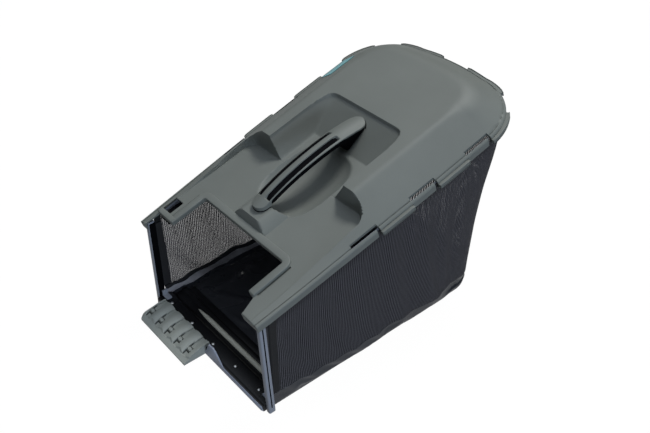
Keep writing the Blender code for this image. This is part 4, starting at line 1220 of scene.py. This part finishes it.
# %% Lip, web and bar
def front_lip():
    """Pale strip along the sill's lower front edge, right of the tongue."""
    section = [(3.9, 0.3), (2.6, 0.3), (1.9, 1.2), (1.7, 4.0), (1.9, 6.6), (2.8, 7.8), (3.9, 8.2)]
    rings = [[(x, y, z) for y, z in section] for x in (TONGUE_X1 + 0.4, 60.0, 148.0, 150.5)]
    rings[-1] = [(x, 3.9 + (y - 3.9) * 0.5, 2.0 + (z - 2.0) * 0.6) for x, y, z in rings[-1]]
    return ring_body("sill_lip", rings, from_mouth)


def gusset():
    """Upright web beside the tongue that runs out into the strip."""
    rings = []
    for i in range(25):
        t = i / 24.0
        x = TONGUE_X1 + 0.8 + 56.0 * t
        rise = float(smooth01(t / 0.22)) * (1.0 - float(smooth01((t - 0.34) / 0.66)))
        top = 8.0 + 27.0 * max(rise, 0.0) * (0.8 + 0.2 * t)
        thick = 1.4 + 1.6 * rise
        rings.append([(x, 2.2, 5.0), (x, 2.2, top - 1.2), (x, 3.0, top), (x, 2.2 + thick, top),
                      (x, 3.0 + thick, top - 1.2), (x, 3.0 + thick, 5.0)])
    return ring_body("tongue_web", rings, from_mouth)


def floor_highlight_bar():
    """Pale olive bar across the floor behind the sill: a painted highlight that fades out towards its left
    end.
    """
    section = [(44.0, 4.4), (44.2, 5.8), (45.4, 7.2), (47.4, 8.0), (49.6, 8.2), (51.4, 7.6), (52.6, 6.2),
               (52.8, 4.4)]
    middle, foot = 48.4, 4.4
    rings = []
    for x, wide in ((-92.0, 0.2), (-84.0, 0.5), (-66.0, 0.85), (-48.0, 1.0), (40.0, 1.0), (140.0, 1.0),
                    (148.0, 0.9)):
        rings.append([(x, middle + (y - middle) * wide, foot + (z - foot) * wide) for y, z in section])
    return ring_body("floor_highlight_bar", rings, from_mouth)


new_sill = sill_body()
rounded(new_sill, 0.5 * MM, 50.0)
dress(new_sill, black_plastic, 40.0)
dress(tongue_body(), tongue_plastic, 40.0)
dress(front_lip(), lip_plastic, 40.0)
dress(gusset(), lip_plastic, 40.0)
dress(floor_highlight_bar(), highlight_bar_plastic, 40.0)
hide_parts("sill")
print("sill:", round(2.0 * SILL_HALF), "mm wide, tongue pitch", round(TONGUE_PITCH, 1), "mm")

# %% [markdown]
# Each front post carries a dark strip: on the left down its inner face, on the right a narrow line.

# %% Strips on the posts
def post_strip(name, side, offset, proud, start, end):
    """Black strip down one face of a front post. Offsets are measured from the post's own middle line."""
    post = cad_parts[f"post_{side}"]
    corners = np.array([MM ** -1 * np.array(post.matrix_world @ v.co) for v in post.data.vertices])
    corners[:, 1] -= MOUTH_Y / MM
    low = corners[corners[:, 2] < corners[:, 2].min() + 2.0].mean(axis=0)
    high = corners[corners[:, 2] > corners[:, 2].max() - 2.0].mean(axis=0)
    rings = []
    for share in (0.06, 0.35, 0.65, 0.985):
        x, y, z = low + (high - low) * share
        near, far = x + offset, x + offset + proud
        rings.append([(near, y + start, z), (far, y + start, z), (far, y + end, z), (near, y + end, z)])
    thing = ring_body(name, rings, from_mouth)
    dress(thing, grip_rubber, 40.0)


post_strip("post_liner_left", "left", 4.2, 0.7, -4.4, 6.6)
post_strip("post_line_right", "right", 4.2, 0.5, -1.6, 0.4)


# %% [markdown]
# The bag is one continuous skin on the real catcher: mesh walls sewn to a coated floor with turned-up
# sides. It is laid out as one grid, unrolled along the rim. Its lower rows are the floor, the next ones the
# coated band up to a wavy seam, and the rest the mesh up to the cover. The wall rows hang from the rim and
# the posts in a cloth simulation. A seed of slight slanting waves tells them where to fold.

# %% Lay out the bag
BAG_START = 22.0
BASE_HALF = 158.0
BASE_END = 477.0
BASE_CORNER = 55.0
BASE_STRAIGHT = BASE_END - BASE_CORNER - BAG_START
SEAM_HEIGHT = 27.0
CLOTH = 1.2
TOP_BAND = 17.0
FLOOR_ROWS = 26
BAND_ROWS = 7
MESH_ROWS = 34
COLUMNS = 260


def base_place(share):
    """Point (x, y) of the floor's outline. The share runs 0 to 1 with the rim's own walk."""
    straight = CORNER_V / HALF_WALK
    corner = (CORNER_V + CORNER_ARC) / HALF_WALK
    if share <= straight:
        along = share / straight
        return BASE_HALF - 4.0 * (1.0 - along) ** 2, BAG_START + BASE_STRAIGHT * along
    if share <= corner:
        a = (share - straight) / (corner - straight) * math.pi / 2.0
        return (BASE_HALF - BASE_CORNER + BASE_CORNER * math.cos(a),
                BASE_END - BASE_CORNER + BASE_CORNER * math.sin(a))
    return (BASE_HALF - BASE_CORNER) * (1.0 - share) / (1.0 - corner), BASE_END


def wall_ends(walk):
    """Foot and top of the wall at a walked distance, in world millimetres from the mouth's plane."""
    x, v = rim_point(walk, WALL + 0.5)
    top = np.array([x, v * math.cos(TILT) + 2.0 * math.sin(TILT),
                    FRONT_HEIGHT + v * math.sin(TILT) - 2.0 * math.cos(TILT)])
    share = (walk - BAG_START) / (HALF_WALK - BAG_START)
    return np.array([*base_place(share), 0.0]), top


def seam_line(u):
    """Height of the seam between coated band and mesh. The sewing wanders a little."""
    wander = 1.8 * math.sin(u * 0.021 + 0.4) + 0.6 * math.sin(u * 0.049 + 2.0)
    return SEAM_HEIGHT + wander * min(1.0, (HALF_WALK - BAG_START - abs(u)) / 30.0)


def bag_layout():
    """Places of the whole skin, rows from the middle of the floor up to the rim, and their UVs in metres."""
    reach = HALF_WALK - BAG_START
    places, maps = [], []
    us = [reach * (2.0 * i / COLUMNS - 1.0) for i in range(COLUMNS + 1)]
    for u in us:
        side = 1.0 if u > 0.0 else -1.0
        foot, top = wall_ends(HALF_WALK - abs(u))
        foot[0] *= side
        top[0] *= side
        spine = np.array([0.0, min(foot[1], BASE_END - BASE_CORNER), 0.0])
        column, uv = [], []
        bend = 4.0
        inward = (spine - foot) / max(np.linalg.norm(spine - foot), 1e-6)
        up = (top - foot) / np.linalg.norm(top - foot)
        for i in range(FLOOR_ROWS):
            t = (i / FLOOR_ROWS) ** 0.9
            p = spine + (foot + inward * bend - spine) * t
            column.append(p)
            uv.append((u, -np.linalg.norm(foot - p)))
        for i in range(1, 4):
            a = i / 4.0 * math.pi / 2.0
            column.append(foot + inward * bend * (1.0 - math.sin(a)) + up * bend * (1.0 - math.cos(a)))
            uv.append((u, 0.0))
        seam = seam_line(u)
        high = top[2]
        for i in range(BAND_ROWS + 1):
            h = bend + (seam - bend) * i / BAND_ROWS
            column.append(foot + (top - foot) * (h / high))
            uv.append((u, h))
        for i in range(1, MESH_ROWS + 1):
            h = seam + (high - seam) * i / MESH_ROWS
            column.append(foot + (top - foot) * (h / high))
            uv.append((u, h))
        places.append(column)
        maps.append(uv)
    return np.array(places), np.array(maps)


bag_places, bag_uv = bag_layout()
GROUND_ROW = FLOOR_ROWS + 3
SEAM_ROW = GROUND_ROW + BAND_ROWS
LAST_ROW = bag_places.shape[1] - 1
print("bag grid:", bag_places.shape[:2], "seam row", SEAM_ROW)


# %% [markdown]
# Folds need a start. The seed moves the wall in and out by a few millimetres along slanting waves, and
# bellies it out a little, before the cloth simulation takes over.

# %% Seeds of the folds
def inward_sides(places):
    """Unit vectors that point into the bag, level with the ground."""
    along = np.gradient(places, axis=0)
    out = np.stack([along[..., 1], -along[..., 0], np.zeros(along.shape[:2])], axis=2)
    return out / np.maximum(np.linalg.norm(out, axis=2, keepdims=True), 1e-9)


def fold_seed():
    """Slight slanting waves that tell the cloth where to fold: pulls from the rim down to the mouth."""
    u = bag_uv[..., 0]
    h = bag_uv[..., 1]
    top = bag_uv[:, -1:, 1]
    share = np.clip(h / top, 0.0, 1.0)
    slant = np.abs(u) * 0.78 - h * 0.62
    wave = (np.sin(slant / 21.0 + 0.6 * np.sin(h / 37.0))
            + 0.6 * np.sin(slant / 12.3 + 1.3 + 0.5 * np.sin(u / 51.0))
            + 0.5 * np.sin(np.abs(u) / 33.0 + 2.0))
    envelope = np.clip((top - TOP_BAND - h) / 40.0, 0.0, 1.0) * np.clip(h / 22.0, 0.0, 1.0)
    reach = HALF_WALK - BAG_START
    envelope *= np.clip((reach - np.abs(u) - 10.0) / 45.0, 0.0, 1.0)
    belly = 2.6 * np.sin(math.pi * share) * envelope
    return (2.2 * wave * envelope + belly) * (h > 0.0)


print("fold seed:", round(float(np.abs(fold_seed()).max()), 1), "mm at most")


# %% [markdown]
# The wall rows hang in a cloth simulation of 24 frames. The rim band, both front edges and the foot are
# held. The cloth is 0.8% larger than its frame, so it sags. No point may move more than 14 mm.

# %% Hang the walls
def bag_grid(name, places, first, last):
    """Primitive grid over the given rows of the layout, with its UV map in metres."""
    part = places[:, first:last + 1]
    columns, rows = part.shape[:2]
    bpy.ops.mesh.primitive_grid_add(x_subdivisions=rows - 1, y_subdivisions=columns - 1, size=1.0)
    thing = bpy.context.object
    thing.name = name
    thing.data.vertices.foreach_set("co", from_mouth(part).ravel())
    loops = np.zeros(len(thing.data.loops), dtype=np.int32)
    thing.data.loops.foreach_get("vertex_index", loops)
    flat = (bag_uv[:, first:last + 1].reshape(-1, 2) * MM)[loops]
    thing.data.uv_layers.active.data.foreach_set("uv", flat.ravel())
    thing.data.update()
    return thing


def settle(thing, frames):
    """Run the cloth and keep the last frame. Rim, posts and ground hold it."""
    h = bag_uv[:, GROUND_ROW:, 1]
    u = np.abs(bag_uv[:, GROUND_ROW:, 0])
    top = h[:, -1:]
    held = (h > top - TOP_BAND) | (u > HALF_WALK - BAG_START - 13.0) | (h < 6.0)
    group = thing.vertex_groups.new(name="held")
    group.add([int(i) for i in np.flatnonzero(held.ravel())], 1.0, "REPLACE")
    cloth = thing.modifiers.new("hang", "CLOTH")
    cloth.settings.quality = 6
    cloth.settings.mass = 0.12
    cloth.settings.tension_stiffness = 22.0
    cloth.settings.compression_stiffness = 14.0
    cloth.settings.shear_stiffness = 8.0
    cloth.settings.bending_stiffness = 1.2
    cloth.settings.shrink_min = -0.008
    cloth.settings.shrink_max = -0.008
    cloth.settings.vertex_group_mass = "held"
    cloth.collision_settings.use_collision = False
    cloth.point_cache.frame_end = frames
    for frame_number in range(1, frames + 1):
        bpy.context.scene.frame_set(frame_number)
    only(thing)
    bpy.ops.object.modifier_apply(modifier=cloth.name)
    bpy.context.scene.frame_set(1)


LARGEST_MOVE = 14.0
SIM_FRAMES = 24


def settled_places(places):
    """Wall rows after the cloth has settled, with the largest move of a point capped."""
    thing = bag_grid("hanging_wall", places, GROUND_ROW, LAST_ROW)
    settle(thing, SIM_FRAMES)
    moved = np.zeros(len(thing.data.vertices) * 3)
    thing.data.vertices.foreach_get("co", moved)
    moved = moved.reshape(-1, 3) - np.array([0.0, MOUTH_Y, 0.0])
    moved = moved.reshape(places.shape[0], -1, 3) / MM
    bpy.data.objects.remove(thing, do_unlink=True)
    before = places[:, GROUND_ROW:]
    step = moved - before
    size = np.linalg.norm(step, axis=2, keepdims=True)
    print("largest move of the wall:", round(float(size.max()), 1), "mm")
    out = places.copy()
    out[:, GROUND_ROW:] = before + step * np.minimum(1.0, LARGEST_MOVE / np.maximum(size, 1e-6))
    return out


seeded = bag_places + inward_sides(bag_places) * fold_seed()[..., None]
bag_final = settled_places(seeded)


# %% [markdown]
# The floor is coated cloth that was folded flat in its box, so it keeps a few shallow creases. They run
# from the rear corners and across the middle, and stay flat under the sill.

# %% Creases in the floor
CREASES = [(-120.0, 90.0, 60.0, 210.0, 3.2, 5.0), (-60.0, 80.0, 130.0, 150.0, 2.4, 4.0),
           (-110.0, 250.0, 40.0, 120.0, 2.6, 5.0), (0.0, 200.0, 110.0, 380.0, 3.0, 6.0),
           (-90.0, 400.0, 60.0, 300.0, 3.0, 6.0), (-122.0, 74.0, -130.0, 196.0, 4.0, 2.0)]


def floor_creases(places):
    out = places.copy()
    x = places[:, :GROUND_ROW, 0]
    y = places[:, :GROUND_ROW, 1]
    rise = np.zeros_like(x)
    for x0, y0, x1, y1, high, wide in CREASES:
        length = math.hypot(x1 - x0, y1 - y0)
        ax, ay = (x1 - x0) / length, (y1 - y0) / length
        along = (x - x0) * ax + (y - y0) * ay
        off = np.abs((x - x0) * -ay + (y - y0) * ax + 5.0 * np.sin(along / 31.0))
        ends = smooth01(along / 25.0) * smooth01((length - along) / 25.0)
        rise += high * np.exp(-(off / wide) ** 1.3) * ends
    rise += 0.8 + 0.8 * np.sin(x / 23.0 + 0.7 * np.sin(y / 29.0)) * np.sin(y / 31.0)
    keep = smooth01((y - 76.0) / 12.0) * smooth01((np.abs(x - np.sign(x) * BASE_HALF) - 4.0) / 20.0)
    out[:, :GROUND_ROW, 2] += rise * keep
    return out


bag_final = floor_creases(bag_final)
print("floor rises to", round(float(bag_final[:, :GROUND_ROW, 2].max()), 1), "mm")


# %% [markdown]
# The settled skin is cut at its seam: mesh above, coated cloth below. Both cloths are smoothed once and
# given their thickness.

# %% Cut the skin into its cloths
def finished_cloth(name, first, last):
    thing = bag_grid(name, bag_final, first, last)
    open_mesh(thing)
    if first == 0:
        bpy.ops.mesh.remove_doubles(threshold=1e-5)
    bpy.ops.mesh.normals_make_consistent(inside=False)
    close_mesh()
    step = thing.modifiers.new("smooth", "SUBSURF")
    step.levels = 1
    step.render_levels = 1
    bpy.ops.object.modifier_apply(modifier=step.name)
    return thing


def outward(thing):
    """Turn the faces so that the walls' normals point away from the bag's middle."""
    centre = Vector((0.0, MOUTH_Y + 0.24, 0.12))
    facing = sum((face.center - centre).dot(face.normal) * face.area for face in thing.data.polygons)
    if facing < 0.0:
        open_mesh(thing)
        bpy.ops.mesh.flip_normals()
        close_mesh()


def thicken(thing, thick):
    outward(thing)
    only(thing)
    step = thing.modifiers.new("cloth", "SOLIDIFY")
    step.thickness = thick * MM
    step.offset = -1.0
    step.use_even_offset = False
    bpy.ops.object.modifier_apply(modifier=step.name)
    bpy.ops.object.shade_smooth()


mesh_wall = finished_cloth("mesh_wall", SEAM_ROW, LAST_ROW)
coated_base = finished_cloth("coated_base", 0, SEAM_ROW)
for thing, thick in ((mesh_wall, 0.35), (coated_base, CLOTH)):
    thicken(thing, thick)
dress(mesh_wall, mesh_cloth)
dress(coated_base, coated_cloth)
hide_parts("mesh_bag")
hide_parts("bag_floor")


# %% [markdown]
# Inside the bag a binding tape covers the seam, with the seam's allowance below it. Both are swept along
# rows of the finished skin, so they follow every wave of the sewing.

# %% Binding over the seam
def skin_band(name, row, half_rows, thick, lift, finish):
    """Band that lies on the inside of the skin along a row, lifted off it."""
    sides = inward_sides(bag_final)
    low = bag_final[:, row - half_rows]
    high = bag_final[:, row + half_rows]
    middle = bag_final[:, row]
    rings = []
    for i in range(bag_final.shape[0]):
        inward = sides[i, row]
        ring = []
        for spot, bulge in ((low[i], 0.0), (middle[i], 0.5 * thick), (high[i], 0.0)):
            ring.append(spot + inward * (lift + thick + bulge))
        for spot in (high[i], middle[i], low[i]):
            ring.append(spot + inward * lift)
        rings.append(ring)
    return dress(ring_body(name, rings, from_mouth), finish, 60.0)


binding = skin_band("seam_binding", SEAM_ROW, 1, 1.1, CLOTH + 0.15, tape)
skin_band("seam_allowance", SEAM_ROW - 3, 2, 0.6, CLOTH + 0.15, webbing)
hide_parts("seam_tape")
print("binding:", len(binding.data.polygons), "faces")


# %% [markdown]
# The mesh ends in a doubled tape down each front edge, just behind the posts. It is a plain closed strip.

# %% Hems behind the posts
def hem(side):
    """Doubled tape down the mesh's front edge. It reaches behind the post."""
    rings = []
    for i in range(21):
        share = i / 20.0
        ring = []
        for walk, inset in ((17.5, 1.3), (34.0, 1.3), (34.6, 1.8), (34.0, 2.4), (17.5, 2.4)):
            foot, top = wall_ends(BAG_START)
            ahead = walk - BAG_START
            low, high = 34.0 / top[2], 1.0 - (TOP_BAND + 1.0) / top[2]
            p = foot + (top - foot) * (low + (high - low) * share)
            ring.append((side * (p[0] - inset + 0.012 * ahead), p[1] + ahead, p[2]))
        rings.append(ring)
    thing = dress(ring_body("mesh_hem", rings, from_mouth), tape, 40.0)
    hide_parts("hem_right" if side > 0.0 else "hem_left")
    return thing


print("hems:", [hem(side).name for side in (-1.0, 1.0)])


# %% [markdown]
# Posts, brackets, edge strips, batten, label, rivets and screws are right as the CAD has them. Only their
# finish is new, and a small rounding where a mould leaves one.

# %% Pieces that the CAD already has right
for side in ("left", "right"):
    softened(f"post_{side}", f"front_post_{side}", grey_plastic, 0.0008)
    softened(f"foot_clip_{side}", f"foot_bracket_{side}", grey_plastic, 0.0006)
    softened(f"clip_strip_{side}", f"edge_strip_{side}", grey_plastic)
softened("clip_strip_back", "edge_strip_back", grey_plastic)
softened("floor_batten", "batten", black_plastic, 0.0005)
softened("side_label", "plain_label", label_film)
for i in range(1, 6):
    softened(f"rivet_{i}", f"sill_rivet_{i}", steel)
for end in ("front", "back"):
    softened(f"handle_screw_{end}", f"grip_screw_{end}", steel)
for node, finish in (("top_cover", cover_plastic), ("mesh_bag", mesh_cloth), ("bag_floor", coated_cloth),
                     ("seam_tape", tape), ("handle", cover_plastic), ("sill", black_plastic),
                     ("hem_left", tape), ("hem_right", tape)):
    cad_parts[node].data.materials.clear()
    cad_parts[node].data.materials.append(finish)
